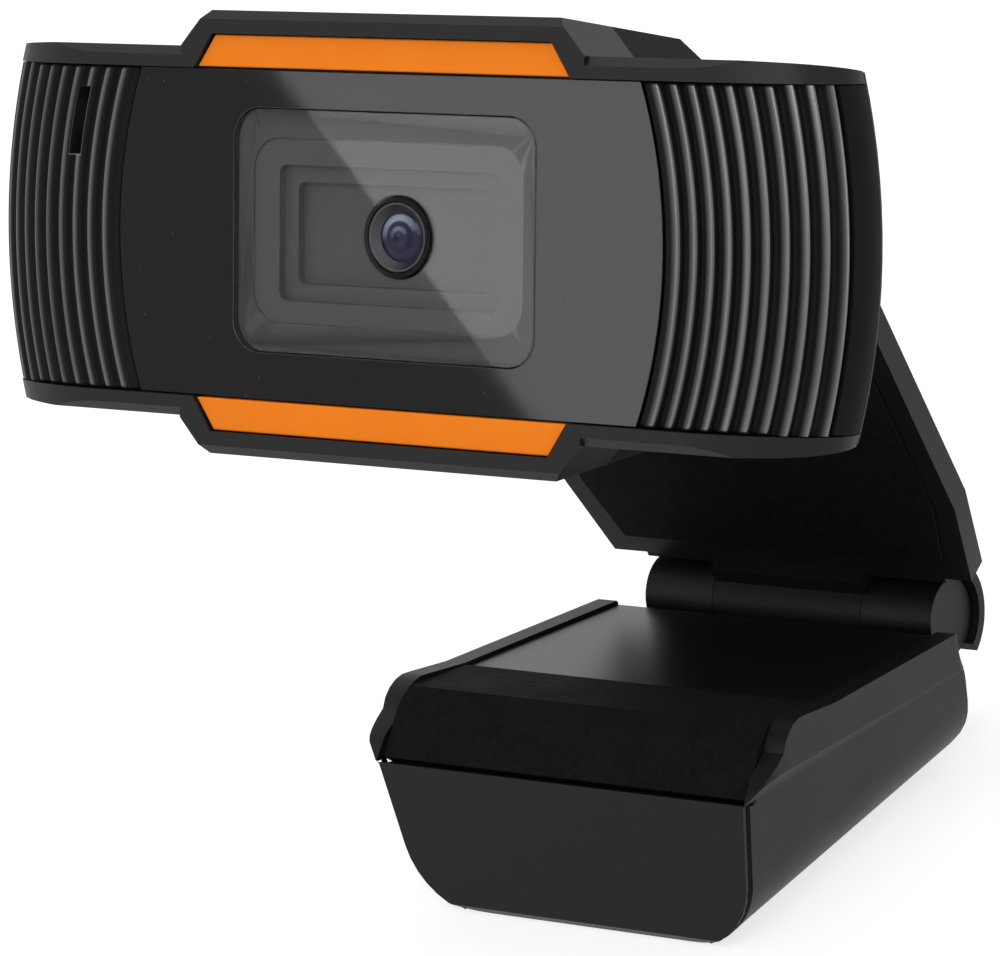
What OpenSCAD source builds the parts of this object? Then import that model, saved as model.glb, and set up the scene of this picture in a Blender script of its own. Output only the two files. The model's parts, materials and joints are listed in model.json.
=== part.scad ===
// Clip-on webcam: a wide camera head on a tilting neck, carried by the leaf of a
// folding clip. The origin is on the surface it stands on, in the middle of its outline.
// +X is to the camera's left as it looks out, -Y is where the lens points, +Z is up.

/* [Head] */
// Overall width of the head
head_w = 76; // [73:0.5:86]
// Depth of the head from the rim to the back
head_d = 20; // [18:0.5:23]
// Height of the head at its ends, over both rim bars
band_h = 27.3; // [26.5:0.1:29]
// Height of the head at the raised middle
raised_h = 32.6; // [32:0.1:35]
// Width of the raised middle at its outer edge
raised_top_w = 30.8; // [28:0.2:32]
// Width of the raised middle where it meets the rim bars
raised_foot_w = 35.6; // [34.5:0.1:38]
// Height of one rim bar
rim_h = 1.55; // [1.2:0.05:2]
// Chamfer along the outer edge of the rim
rim_chamfer = 0.65; // [0.3:0.05:0.9]
// Slope of the head's top and underside towards the back, in degrees
top_slope = 6; // [4:0.5:7]
// Wall thickness of the housings
wall = 1.5; // [1.2:0.1:1.8]
// Depth from the rim to the seam between the front frame and the rear housing
seam_d = 7; // [6.5:0.25:8]
// Angle at which the housing's ends close in towards the back, in degrees
end_taper = 32; // [28:0.5:34]
// Radius of the rounded rear corners, seen from above
rear_corner_r = 7; // [5:0.5:9]
// Radius of the housing's long edges at its ends
end_edge_r = 5; // [4:0.5:7]

/* [Face] */
// Radius of the arcs between the face panel and the cheeks
arc_r = 36.6; // [34:0.2:40]
// Half width of the face panel at mid height
panel_half = 24.15; // [23:0.05:25]
// Depth of the panel and window behind the rim
panel_set = 0.7; // [0.4:0.05:1]
// Thickness of the face panel
panel_t = 1.2; // [1:0.1:1.5]
// Thickness of the mid wall behind the panel
mid_wall_t = 1.2; // [1:0.1:1.5]
// Width of the window
window_w = 26.6; // [25:0.2:28]
// Height of the window
window_h = 17.7; // [16.5:0.1:19]
// Height of the window's centre above the middle of the head
window_rise = 0.35; // [0:0.05:0.6]
// Corner radius of the window
window_r = 2.3; // [1.6:0.1:2.6]
// Thickness of the clear window pane
pane_t = 0.5; // [0.4:0.05:0.7]
// Depth of the trim strips and the cheeks behind the rim
trim_set = 0.35; // [0.2:0.05:0.5]
// Thickness of a trim strip
trim_t = 1.3; // [1:0.1:1.4]
// Height of a trim strip
trim_h = 2.5; // [2:0.1:2.8]
// Half width of a trim strip at its long inner edge
trim_long = 16.6; // [15.8:0.1:16.8]
// Half width of a trim strip at its short outer edge
trim_short = 15; // [14:0.1:15.2]
// Gap at the seams between pieces that don't move
seam = 0.08; // [0.04:0.01:0.12]

/* [Cheeks] */
// Length over which each end of the head curves back
end_span = 10.05; // [9.8:0.05:10.6]
// Radius of that curve, seen from above
end_curve_r = 17.3; // [16.5:0.1:18]
// Angle of the curve where the end bulge begins
end_sweep = 26.8; // [25:0.2:28]
// Thickness of a cheek behind its ribs
cheek_t = 1.5; // [1.3:0.1:1.8]
// Width of the wide rib next to the face panel
first_rib_w = 1.6; // [1.2:0.1:2.2]
// Spacing of the other ribs
rib_pitch = 1.41; // [1.2:0.01:1.8]
// Number of ribs on each cheek
rib_n = 10; // [7:1:10]
// Depth of the grooves between the ribs
rib_d = 0.5; // [0.2:0.02:0.6]
// Rib after which the microphone slot is cut
slot_rib = 3; // [2:1:5]
// Width of the microphone slot
slot_w = 1.2; // [0.8:0.1:1.3]
// Distance of the slot's middle below the upper rim bar
slot_drop = 4.2; // [3.4:0.1:5]
// Height of the slot
slot_h = 5.1; // [3.6:0.1:5.4]

/* [Lens] */
// Radius of the lens barrel's front ring
lens_r = 2.97; // [2.7:0.01:3.1]
// Radius of the barrel's threaded body
barrel_r = 2.7; // [2.5:0.05:2.75]
// Outer radius of the retaining ring in front of the glass
ring_r = 2.52; // [2.3:0.02:2.6]
// Radius of the front glass
glass_r = 1.95; // [1.7:0.05:2.1]
// Depth of the lens front behind the rim
lens_set = 2.55; // [2.3:0.05:2.8]
// Height of the lens axis above the middle of the head
lens_rise = 0.2; // [0:0.05:0.5]
// Side of the square lens holder
holder_w = 13; // [12:0.5:14]
// Depth of the circuit board's front face behind the rim
board_set = 9.2; // [9:0.1:10]
// Width of the circuit board
board_w = 30; // [27:0.5:31]
// Height of the circuit board
board_h = 20; // [17:0.5:20.5]
// Thickness of the circuit board
board_t = 1.2; // [0.8:0.1:1.6]

/* [Clip] */
// Backward lean of the head from upright, in degrees
recline = 18.5; // [12:0.5:22]
// Forward lean of the clip leaf from upright, in degrees
lean = 23.2; // [20:0.2:26]
// Width of the clip: its leaf and the foot's side walls
clip_w = 37; // [35:0.5:40]
// Width of the leaf at its lower edge
leaf_foot_w = 34; // [32:0.5:34]
// Height over which the leaf widens
leaf_flare = 8.4; // [6:0.2:10]
// Thickness of the leaf
leaf_t = 2.2; // [2:0.1:2.6]
// Distance from the clip hinge to the leaf's lower edge
leaf_foot = 4.4; // [4.3:0.1:4.8]
// Distance from the clip hinge to the tilt axis, along the leaf
tilt_up = 38.4; // [37:0.2:42]
// Distance of the leaf's front face behind the clip hinge axis
leaf_back = 0.3; // [0:0.05:0.6]
// Radius of the clip's hinge knuckles
knuckle_r = 3.2; // [3:0.05:3.4]
// Half length of the middle knuckle
knuckle_half = 7.1; // [6:0.1:8]
// Half length over all three knuckles
hinge_half = 13.6; // [12.5:0.1:14.5]
// Outer radius of the curl that wraps round the hinge
curl_r = 4.5; // [4.4:0.05:4.8]
// Thickness of the curl
curl_t = 0.9; // [0.8:0.05:0.95]
// Half length of the curl
curl_half = 14.2; // [13:0.1:14.4]
// Radius of the steel hinge pins
pin_r = 1.2; // [1:0.05:1.4]
// Margin of the leaf's soft pad from the leaf's edges
leaf_pad_margin = 1.8; // [1.4:0.1:3]
// Height of a soft pad above the plastic round it
pad_proud = 0.15; // [0.1:0.05:0.4]

/* [Neck] */
// Distance of the tilt axis behind the rim plane
tilt_back = 35.7; // [35.2:0.1:38]
// Distance of the tilt axis below the middle of the head
tilt_drop = 2.7; // [2:0.1:4]
// Distance of the swivel axis behind the head's back
swivel_gap = 5.6; // [5.4:0.1:5.8]
// Radius of the swivel post
post_r = 2.3; // [2:0.05:2.4]
// Radius of the boss that turns on the post
boss_r = 4.6; // [4.4:0.05:4.7]
// Radius of the tilt knuckles
tilt_r = 3.1; // [2.8:0.05:3.2]
// Half width of the neck
neck_half = 3.6; // [3:0.1:4]
// Width of each tilt lug on the leaf
lug_w = 4; // [3:0.1:5]

/* [Foot] */
// Length of the foot from its front face to its rear end
foot_l = 34.2; // [33.8:0.1:35]
// Angle at which each side of the foot closes in towards the hinge, in degrees
side_taper = 3; // [2:0.1:4.5]
// How far the foot's lower edge lies inside the clip's width on each side
foot_inset = 2.65; // [2.3:0.05:3]
// Outward lean of the foot's lower sides, in degrees
side_lean = 8; // [7:0.5:10]
// Outward lean of its upper sides, in degrees
upper_lean = 44; // [38:1:48]
// Height at the front of the crease between the lower and the upper sides
crease_h = 11.9; // [11.6:0.1:12.4]
// Radius of the lower edges
foot_corner_r = 6.5; // [4:0.25:7]
// Radius of the lower rear edge
foot_rear_r = 3; // [2:0.25:4]
// Thickness of the side walls beside the soft pad
side_t = 1.8; // [1.7:0.1:2.1]
// Height of the front face
chin_h = 12.9; // [12.4:0.1:13.2]
// Height of the pad's highest edge
brow_h = 16.9; // [16.4:0.1:17.2]
// Distance of that edge behind the front face
brow_back = 4.5; // [4:0.1:5]
// Distance of the pad's back edge behind the front face
pad_back = 12.4; // [12:0.1:16]
// Thickness of the soft pad
pad_t = 1.2; // [1:0.1:1.6]
// Slope of the foot's top towards the hinge, in degrees
foot_slope = 10; // [8:0.1:10.5]
// Height of the side walls above the pad at its highest edge
brow_rise = 0.3; // [0.2:0.02:1]
// Height of the side walls above the cover
side_rise = 0.12; // [0.06:0.02:0.6]
// Distance of the clip hinge behind the front face
hinge_back = 37.6; // [37.2:0.1:38.4]
// Height of the clip hinge above the table
hinge_up = 10.9; // [10.5:0.1:11.5]

/* [Hidden] */
$fn = 48;

fit_gap = 0.05;      // radial gap of a shaft in its bore
past = 1;            // how far a cutter runs past the face it cuts
screw_r = 0.85;      // shank of the small screws
screw_head_r = 1.7;
screw_head_t = 1.1;
screw_post_r = 2.1;

// Front view of the head
band_half = band_h / 2;
raised_half = raised_h / 2;
opening_half = band_half - rim_h;
cheek_corner_r = 1.2;
flat_half = head_w / 2 - end_span;
arc_off = arc_r - panel_half;
mid_wall_y = panel_set + panel_t;
inside_y = mid_wall_y + mid_wall_t;
back_edge = 4.1;     // the top's rear edge, from the back
back_step = 1.4;     // length and height of the steep drop behind that edge
back_drop = 2;
bulge_lead = 2;      // the end's bulge starts this many degrees behind the last rib
ledge = 1.5;         // width of the mid wall under each cheek's inner edge

// Cheek: its curve seen from above, by distance along it from the panel's edge
curve_start = flat_half - panel_half;
degree = 180 / PI;
curve_len = curve_start + end_curve_r * end_sweep / degree;
bulge_r = (end_span - end_curve_r * sin(end_sweep)) / (1 - sin(end_sweep));
curve_c = [arc_off + flat_half, trim_set + end_curve_r];
bulge_c = out_at(curve_c, end_curve_r - bulge_r, end_sweep);
// One rib, as parts of its width and depth: a slow rise, a round crest and a steep drop
rib_shape = [[0, 1], [0.2, 0.86], [0.4, 0.32], [0.62, 0.04], [0.84, 0]];
slot_s = first_rib_w + (slot_rib - 1) * rib_pitch;
slot_mid_r = arc_r + slot_s;
mic_r = 2.1;
mic_t = 1.8;
boot_t = 0.8;
slot_z = opening_half - slot_drop;
mic_x = sqrt(slot_mid_r * slot_mid_r - slot_z * slot_z) - arc_off;
cheek_in_r = end_curve_r - cheek_t;
boot_reach = max(0, slot_mid_r + mic_r + boot_t - curve_c[0]);
boot_y = curve_c[1] - sqrt(cheek_in_r * cheek_in_r - boot_reach * boot_reach) + 0.25;   // behind the wall

// Lens stack
shroud_face_y = panel_set + pane_t;
shroud_step = 0.2;
shroud_floor_y = lens_set + 0.3;
shroud_floor_t = 0.8;
shroud_flange = 1.6;
mouth_w = 19.4;      // mouth of the funnel
mouth_h = 9.9;
floor_w = 17.0;      // floor of the funnel
floor_h = 7.4;
holder_y = shroud_floor_y + shroud_floor_t + 0.4;
barrel_back_y = board_set - 1.6;
ring_t = 0.6;
ring_in_r = glass_r - 0.15;
glass_y = lens_set + ring_t + 0.05;
glass_t = 0.95;
rear_glass_t = 0.85;
rear_glass_y = barrel_back_y - rear_glass_t - 0.1;
filter_w = 7.9;
sensor_w = 6.4;
sensor_h = 5.2;
chip_w = 8;
chip_x = -8;
chip_t = 1;
socket_w = 8.4;
socket_h = 4.6;
socket_d = 4;
socket_wall = 0.75;
socket_z = 3;
board_back = board_set + board_t;
filter_y = board_set - 1.4;
sensor_t = 0.7;

// Screws through the rear housing
post_x = board_w / 2 + screw_post_r + 0.4;
post_z = 5.4;
post_end = head_d - wall - 0.9;
post_joint = post_end - 4;   // where the front frame's posts meet the rear housing's
housing_screw_seat = head_d - 4.4;
board_post_x = board_w / 2 - 2.4;
board_post_z = board_h / 2 - 2.6;

// Neck, in the head's frame
swivel_y = head_d + swivel_gap;
boss_low = -9;
boss_top = 5.4;
boss_seat = 2;
boss_wall = 0.8;
flange_r = 4.3;
flange_t = 2;
arm_t = 2.6;
washer_t = 0.6;
swivel_head_r = 2.4;
cap_t = 1;
gland_x = 9;
gland_z = 5;
gland_r = 1.9;
gland_wall = 1.1;

// Clip, in the leaf's frame: the hinge axis is its origin and +Z runs up the leaf
clip_half = clip_w / 2;
tilt_y = leaf_back + leaf_t / 2;
leaf_rear = leaf_back + leaf_t;
leaf_top = tilt_up + 1.2;
notch_low = tilt_up - tilt_r - 2.4;
tilt_gap = 0.55;     // room for one tilt washer
tilt_washer_t = 0.45;
lug_in = neck_half + tilt_gap;
lug_out = lug_in + lug_w;
leaf_corner = 2.5;
leaf_half_points = [[leaf_foot_w / 2, leaf_foot], [clip_half, leaf_foot + leaf_flare],
    [clip_half, leaf_top - leaf_corner], [clip_half - leaf_corner, leaf_top]];
curl_in = curl_r - curl_t;
curl_end = -83;
pocket_r = curl_r + 0.35;
pin_end = hinge_half - 1.2;
web_t = 0.8;

// Foot, from its front face backwards
foot_low_half = clip_half - foot_inset;
crease_x = foot_low_half + (crease_h - foot_corner_r) * tan(side_lean);
pad_half = clip_half - side_t;
front_inset = 1.5;   // how much narrower the front face is than the clip on each side
front_round = 3;     // length over which the front widens
rear_round = 1.5;    // rounding of the upright rear corners
chin_gap = 0.15;     // open seam under the pad's lower edge
lower_flare = 1;     // angle by which the lower sides widen towards the hinge
foot_rear_half = clip_half - (foot_l - brow_back) * tan(side_taper);
base_ease = 0.8;
pad_nose = 0.7;      // distance of the pad's front edge behind the front face
brow_ease = 0.9;
brow_slope = atan((brow_h - chin_h) / (brow_back - pad_nose));
foot_floor = 2.2;
foot_wall = 1.8;
cover_t = 1.5;
cover_drop = 0.2;    // step down from the pad to the cover
cover_back = hinge_back - pocket_r - 0.1;
foot_screw_x = foot_low_half - foot_corner_r - screw_post_r - 0.7;
foot_screw_y = 20;
function foot_top(y) = brow_h - (y - brow_back) * tan(foot_slope);

foot_screw_l = 9.5;
foot_screw_seat = 1.8;
cover_boss_low = 5;
cover_low = foot_top(pad_back) - cover_drop;         // the cover's surface at its front edge
cover_end = foot_top(cover_back) - cover_drop;       // and at its rear edge
core_side = concat(foot_underside(), [[foot_l, cover_end - cover_t], [cover_back, cover_end],
    [pad_back, cover_low], pad_line(pad_t)[2], pad_line(pad_t)[1], pad_line(pad_t)[0], [0, chin_h - chin_gap]]);
side_wall_line = concat(foot_underside(),
    [[foot_l, foot_top(cover_back) + side_rise - 2], [cover_back, foot_top(cover_back) + side_rise],
    [pad_back, foot_top(pad_back) + side_rise]],
    arc([brow_back + 2.2, brow_h + brow_rise - 3.4], 3.2, 70, 150, 5),
    [[1.4, chin_h + 1.4], [0, chin_h]]);
// Hollow under the pad and the cover
hollow_back = foot_l - foot_wall - 3.4;
hollow_line = [[foot_wall, foot_floor], [hollow_back, foot_floor], [hollow_back, hinge_up - 4],
    [cover_back - 1.2, hinge_up - 0.4], [cover_back - 1.2, brow_h], [pad_back + 1.2, brow_h],
    [pad_back + 1.2, foot_top(pad_back) - 4], [brow_back, foot_top(pad_back) - 4], [foot_wall, chin_h - 4]];

// Where the chain of joints puts the head and the foot
tilt_place = [tilt_y * cos(lean) - tilt_up * sin(lean), tilt_y * sin(lean) + tilt_up * cos(lean)];
head_reach = [tilt_back * cos(recline) - tilt_drop * sin(recline),
    -tilt_back * sin(recline) - tilt_drop * cos(recline)];
head_place = [hinge_back, hinge_up] + tilt_place - head_reach;
front_most = head_place[0] - (raised_half - rim_chamfer) * sin(recline);
foot_y = -(front_most + hinge_back + curl_r) / 2;

// Colours
shell_black = [0.13, 0.13, 0.14];
gloss_black = [0.05, 0.05, 0.06];
orange = [0.94, 0.47, 0.1];
nylon = [0.9, 0.88, 0.8];
shroud_grey = [0.3, 0.3, 0.31];
filter_tint = [0.5, 0.75, 0.75, 0.6];
steel = [0.7, 0.7, 0.72];
rubber_black = [0.07, 0.07, 0.08];
board_green = [0.05, 0.3, 0.15];
chip_black = [0.1, 0.1, 0.11];
clear_grey = [0.6, 0.65, 0.7, 0.35];

function arc(c, r, a0, a1, n = 8) =
    [for (i = [0:n]) let (a = a0 + (a1 - a0) * i / n) c + r * [cos(a), sin(a)]];
function out_at(c, r, a) = c + r * [sin(a), -cos(a)];
function flip(points) = [for (i = [len(points) - 1:-1:0]) [-points[i][0], points[i][1]]];
function upend(points) = [for (i = [len(points) - 1:-1:0]) [points[i][0], -points[i][1]]];

// Outline in X and Z, drawn out along Y from y0 to y1
module along_y(y0, y1, points) {
    translate([0, y1, 0]) rotate([90, 0, 0]) linear_extrude(y1 - y0) polygon(points);
}
// Outline in Y and Z, drawn out along X over both halves
module along_x(half, points) {
    translate([-half, 0, 0]) rotate([90, 0, 90]) linear_extrude(2 * half) polygon(points);
}
// Outline in X and Y, drawn out along Z over both halves
module along_z(half, points) {
    translate([0, 0, -half]) linear_extrude(2 * half) polygon(points);
}
module rod_x(r, x0, x1) {
    translate([x0, 0, 0]) rotate([0, 90, 0]) cylinder(r = r, h = x1 - x0);
}
module rod_y(r, y0, y1) {
    translate([0, y0, 0]) rotate([-90, 0, 0]) cylinder(r = r, h = y1 - y0);
}
module block(x0, x1, y0, y1, z0, z1) {
    translate([x0, y0, z0]) cube([x1 - x0, y1 - y0, z1 - z0]);
}
module both_sides() {
    children();
    mirror([1, 0, 0]) children();
}
// Block with rounded edges along Y, centred on x = 0 and z = 0
module rounded_block(w, h, r, y0, y1) {
    along_y(y0, y1, concat(arc([w / 2 - r, h / 2 - r], r, 0, 90), arc([r - w / 2, h / 2 - r], r, 90, 180),
        arc([r - w / 2, r - h / 2], r, 180, 270), arc([w / 2 - r, r - h / 2], r, 270, 360)));
}

// Frames of the moving bodies at rest
module foot_frame() {
    translate([0, foot_y, 0]) children();
}
module leaf_frame() {
    foot_frame() translate([0, hinge_back, hinge_up]) rotate([lean, 0, 0]) children();
}
module head_frame() {
    foot_frame() translate([0, head_place[0], head_place[1]]) rotate([-recline, 0, 0]) children();
}

// The head's ends are turned about the axes of the face panel's arcs. The profile gives the
// distance from such an axis and the depth, set forward by fore and drawn in by g.
function end_profile(fore, g) = let (
        r = bulge_r + fore - g,
        c = bulge_c - [fore, 0],
        back_r = rear_corner_r - g,
        cy = head_d - rear_corner_r,
        cx = c[0] + (c[1] * sin(end_taper) + r - back_r - cy * sin(end_taper)) / cos(end_taper))
    concat([[0, g]], arc(curve_c - [fore, 0], end_curve_r + fore - g, -90, end_sweep - 90, 6),
        arc(c, r, end_sweep - 90, end_taper, 6),
        arc([cx, cy], back_r, end_taper, 90, 6), [[0, head_d - g]]);
module turned_ends(profile) {
    intersection() {
        translate([-arc_off, 0, 0]) rotate([-90, 0, 0]) rotate_extrude() polygon(profile);
        translate([arc_off, 0, 0]) rotate([-90, 0, 0]) rotate_extrude() polygon(profile);
    }
}
// Side view of a part of the head that is half high at the rim, with a chamfered rear edge
function side_half(half, g) = let (
        edge_y = head_d - back_edge,
        top = half - g,
        edge_z = top - edge_y * tan(top_slope))
    [[g, 0], [g, top - (g > 0 ? 0 : rim_chamfer)], [g > 0 ? g : rim_chamfer, top],
    [edge_y, edge_z], [edge_y + back_step, edge_z - back_drop],
    [head_d - g, edge_z - back_drop - (back_edge - back_step - g)], [head_d - g, 0]];
module head_side(half, g) {
    along_x(head_w, concat(side_half(half, g), upend(side_half(half, g))));
}
module band_form(g) {
    intersection() {
        turned_ends(end_profile(trim_set, g));
        head_side(band_half, g);
        block(-head_w, head_w, -past, seam_d, -head_w, head_w);
    }
    intersection() {
        rounded_block(head_w - 2 * g, band_h - 2 * g, end_edge_r, seam_d, head_d + past);
        turned_ends(end_profile(0, g));
        head_side(band_half, g);
    }
}
// The raised middle: its top and underside slope down and carry the sloping sides with them
module raised_form(g) {
    half = [[raised_foot_w / 2 - g * 0.6, -past], [raised_foot_w / 2 - g * 0.6, band_half - g],
        [raised_top_w / 2 - g * 0.6, raised_half - g]];
    intersection() {
        union() for (up = [0, 1]) mirror([0, 0, up]) rotate([-top_slope, 0, 0])
            along_y(-raised_h, 2 * head_d, concat(half, flip(half)));
        head_side(raised_half, g);
    }
}
module head_form(g) {
    band_form(g);
    raised_form(g);
}
// The face panel's plan form: the band between the two arcs
module panel_form(half, grow, y0, y1) {
    intersection() {
        translate([-arc_off, 0, 0]) rod_y(arc_r + grow, y0, y1);
        translate([arc_off, 0, 0]) rod_y(arc_r + grow, y0, y1);
        block(-head_w / 2, head_w / 2, y0 - past, y1 + past, -half, half);
    }
}
module trim_form(g, y0, y1) {
    half = [[trim_long + g, opening_half - g], [trim_short + g, opening_half + trim_h + g]];
    along_y(y0, y1, concat(half, flip(half)));
}
module window_form(g, y0, y1) {
    translate([0, 0, window_rise]) rounded_block(window_w + 2 * g, window_h + 2 * g, window_r, y0, y1);
}
module shroud_flange_form(g, y0, y1) {
    window_form(shroud_flange + g, y0, y1);
}
module at_posts() {
    for (x = [-1, 1], z = [-1, 1]) translate([x * post_x, 0, z * post_z]) children();
}
module at_board_posts() {
    for (s = [-1, 1]) translate([s * board_post_x, 0, -s * board_post_z]) children();
}

module front_frame() {
    color(shell_black) head_frame() {
        difference() {
            intersection() {
                head_form(0);
                block(-head_w, head_w, -past, seam_d, -head_w, head_w);
            }
            difference() {
                head_form(wall);
                block(-head_w, head_w, -past, inside_y, -head_w, head_w);
            }
            // The cheeks' openings leave a ledge beside the panel
            difference() {
                block(-head_w, head_w, -past, seam_d + past, -opening_half, opening_half);
                panel_form(head_w, ledge, -2 * past, seam_d + 2 * past);
            }
            block(-head_w, head_w, -past, mid_wall_y, -opening_half, opening_half);
            trim_form(0, -past, trim_set + trim_t);
            mirror([0, 0, 1]) trim_form(0, -past, trim_set + trim_t);
            shroud_flange_form(seam, 0, inside_y + past);
        }
        at_posts() difference() {
            rod_y(screw_post_r, inside_y, post_joint);
            rod_y(screw_r + fit_gap, inside_y + 2, post_end);
        }
    }
}
module face_panel() {
    color(gloss_black) head_frame() difference() {
        panel_form(opening_half - seam, -seam, panel_set, mid_wall_y);
        window_form(seam, 0, mid_wall_y + past);
    }
}
module window_pane() {
    color(clear_grey) head_frame() window_form(0, panel_set, shroud_face_y);
}
module trim_top() {
    color(orange) head_frame() trim_form(-seam, trim_set, trim_set + trim_t);
}
module trim_bottom() {
    color(orange) head_frame() mirror([0, 0, 1]) trim_form(-seam, trim_set, trim_set + trim_t);
}

// Point on the cheek's curve at a distance s along it and a depth d below it
function cheek_point(s, d) = s <= curve_start ? [arc_r + s, trim_set + d]
    : s <= curve_len ? out_at(curve_c, end_curve_r - d, (s - curve_start) / end_curve_r * degree)
    : out_at(bulge_c, bulge_r - d, end_sweep + (s - curve_len) / bulge_r * degree);
function rib_line(s0, w) = [for (p = rib_shape) cheek_point(s0 + p[0] * w, p[1] * rib_d)];
function ribs() = [for (i = [0:rib_n], p = rib_line(i == 0 ? seam : first_rib_w + (i - 1) * rib_pitch,
    i == 0 ? first_rib_w - seam : rib_pitch)) if (i < rib_n) p];
function cheek_section() = let (
        rib_end = first_rib_w + (rib_n - 1) * rib_pitch,
        bulge_start = end_sweep + max(0, rib_end - curve_len) / bulge_r * degree,
        leg_x = bulge_c[0] + bulge_r - wall,
        in_a = asin((leg_x - curve_c[0]) / cheek_in_r))
    concat(ribs(), [cheek_point(rib_end, rib_d)],
        arc(bulge_c, bulge_r, bulge_start - 90 + bulge_lead, end_taper),
        [[leg_x, seam_d + past]],
        [for (i = [6:-1:0]) out_at(curve_c, cheek_in_r, in_a * i / 6)],
        [[arc_r + seam, trim_set + cheek_t]]);
module cheek() {
    intersection() {
        translate([-arc_off, 0, 0]) rotate([-90, 0, 0]) rotate_extrude() polygon(cheek_section());
        translate([panel_half / 2, 0, 0])
            rounded_block(head_w - panel_half, 2 * (opening_half - seam), cheek_corner_r,
                -past, seam_d - seam);
    }
}
module cheek_right() {
    color(shell_black) head_frame() cheek();
}
module cheek_left() {
    color(shell_black) head_frame() mirror([1, 0, 0]) difference() {
        cheek();
        intersection() {
            translate([-arc_off, 0, 0]) difference() {
                rod_y(slot_mid_r + slot_w / 2, -past, seam_d);
                rod_y(slot_mid_r - slot_w / 2, -2 * past, seam_d + past);
            }
            block(0, head_w, -past, trim_set + cheek_t + past, slot_z - slot_h / 2, slot_z + slot_h / 2);
        }
    }
}
module microphone() {
    color(steel) head_frame() translate([-mic_x, boot_y + boot_t, slot_z]) rod_y(mic_r, 0, mic_t);
}
module mic_boot() {
    color(rubber_black) head_frame() translate([-mic_x, 0, slot_z]) difference() {
        rod_y(mic_r + boot_t, boot_y, boot_y + boot_t + mic_t);
        rod_y(mic_r, boot_y + boot_t, boot_y + boot_t + mic_t + past);
        rod_y(mic_r - boot_t, boot_y - past, boot_y + boot_t + past);
    }
}

module lens_shroud() {
    color(shroud_grey) head_frame() difference() {
        union() {
            window_form(0, shroud_face_y, mid_wall_y);
            shroud_flange_form(0, mid_wall_y, shroud_floor_y + shroud_floor_t);
            at_board_posts() rod_y(screw_post_r - 0.3, shroud_floor_y, board_set);
        }
        at_board_posts() rod_y(screw_r + fit_gap, shroud_floor_y + shroud_floor_t, board_set + past);
        translate([0, 0, window_rise])
            rounded_block(window_w - 2.7, window_h - 4.2, window_r, 0, shroud_face_y + shroud_step);
        translate([0, 0, lens_rise]) {
            rounded_block(mouth_w, mouth_h, 0.6, 0, shroud_face_y + 0.9);
            rounded_block(floor_w, floor_h, 0.6, 0, shroud_floor_y);
            rod_y(lens_r + 0.1, 0, shroud_floor_y + past);
        }
    }
}
module on_lens_axis() {
    head_frame() translate([0, 0, lens_rise]) children();
}
module lens_barrel() {
    color(shell_black) on_lens_axis() difference() {
        union() {
            rod_y(lens_r, lens_set, holder_y - fit_gap);
            rod_y(barrel_r, holder_y - 1, barrel_back_y);
        }
        rod_y(ring_r + fit_gap, lens_set - past, lens_set + ring_t);
        rod_y(glass_r + fit_gap, lens_set, glass_y + glass_t + 0.1);
        rod_y(glass_r - 0.45, lens_set, rear_glass_y);
        rod_y(glass_r - 0.05, rear_glass_y - fit_gap, barrel_back_y + past);
    }
}
module lens_ring() {
    color(steel) on_lens_axis() difference() {
        rod_y(ring_r, lens_set + fit_gap, lens_set + ring_t);
        translate([0, lens_set, 0]) rotate([-90, 0, 0])
            cylinder(r1 = ring_r - 0.1, r2 = ring_in_r, h = ring_t);
        rod_y(ring_in_r, lens_set, lens_set + past);
    }
}
// Round lens with one domed face towards the front
module dome_lens(r, y0, edge_t, rise) {
    dome_r = (r * r + rise * rise) / (2 * rise);
    intersection() {
        translate([0, y0 + dome_r - rise, 0]) sphere(r = dome_r, $fn = 96);
        rod_y(r, y0 - rise - past, y0 + edge_t);
    }
}
module front_lens() {
    color(clear_grey) on_lens_axis() dome_lens(glass_r, glass_y, glass_t, 0.4);
}
module rear_lens() {
    color(clear_grey) on_lens_axis() rod_y(glass_r - 0.1, rear_glass_y, rear_glass_y + rear_glass_t);
}
module lens_holder() {
    color(chip_black) on_lens_axis() difference() {
        rounded_block(holder_w, holder_w, 1, holder_y, board_set);
        rod_y(barrel_r + 0.03, holder_y - past, filter_y);
        rounded_block(filter_w + 0.1, filter_w + 0.1, 0.5, filter_y, board_set + past);
    }
}
module ir_filter() {
    color(filter_tint) on_lens_axis() rounded_block(filter_w, filter_w, 0.4, filter_y, filter_y + 0.4);
}
module image_sensor() {
    color(chip_black) on_lens_axis()
        rounded_block(sensor_w, sensor_h, 0.2, board_set - sensor_t, board_set);
}
module circuit_board() {
    color(board_green) head_frame() difference() {
        rounded_block(board_w, board_h, 1, board_set, board_set + board_t);
        at_board_posts() rod_y(screw_r + 0.2, board_set - past, board_set + board_t + past);
    }
}
module controller_chip() {
    color(chip_black) head_frame() translate([chip_x, 0, 0])
        rounded_block(chip_w, chip_w, 0.2, board_back, board_back + chip_t);
}
module board_socket() {
    inner_w = socket_w - 2 * socket_wall;
    inner_h = socket_h - 2 * socket_wall;
    socket_x = board_w / 2 - socket_w / 2 - 1;
    color(nylon) head_frame() translate([socket_x, board_back, socket_z]) difference() {
        rounded_block(socket_w, socket_h, 0.2, 0, socket_d);
        rounded_block(inner_w, inner_h, 0.2, socket_wall, socket_d + past);
    }
}
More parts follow.
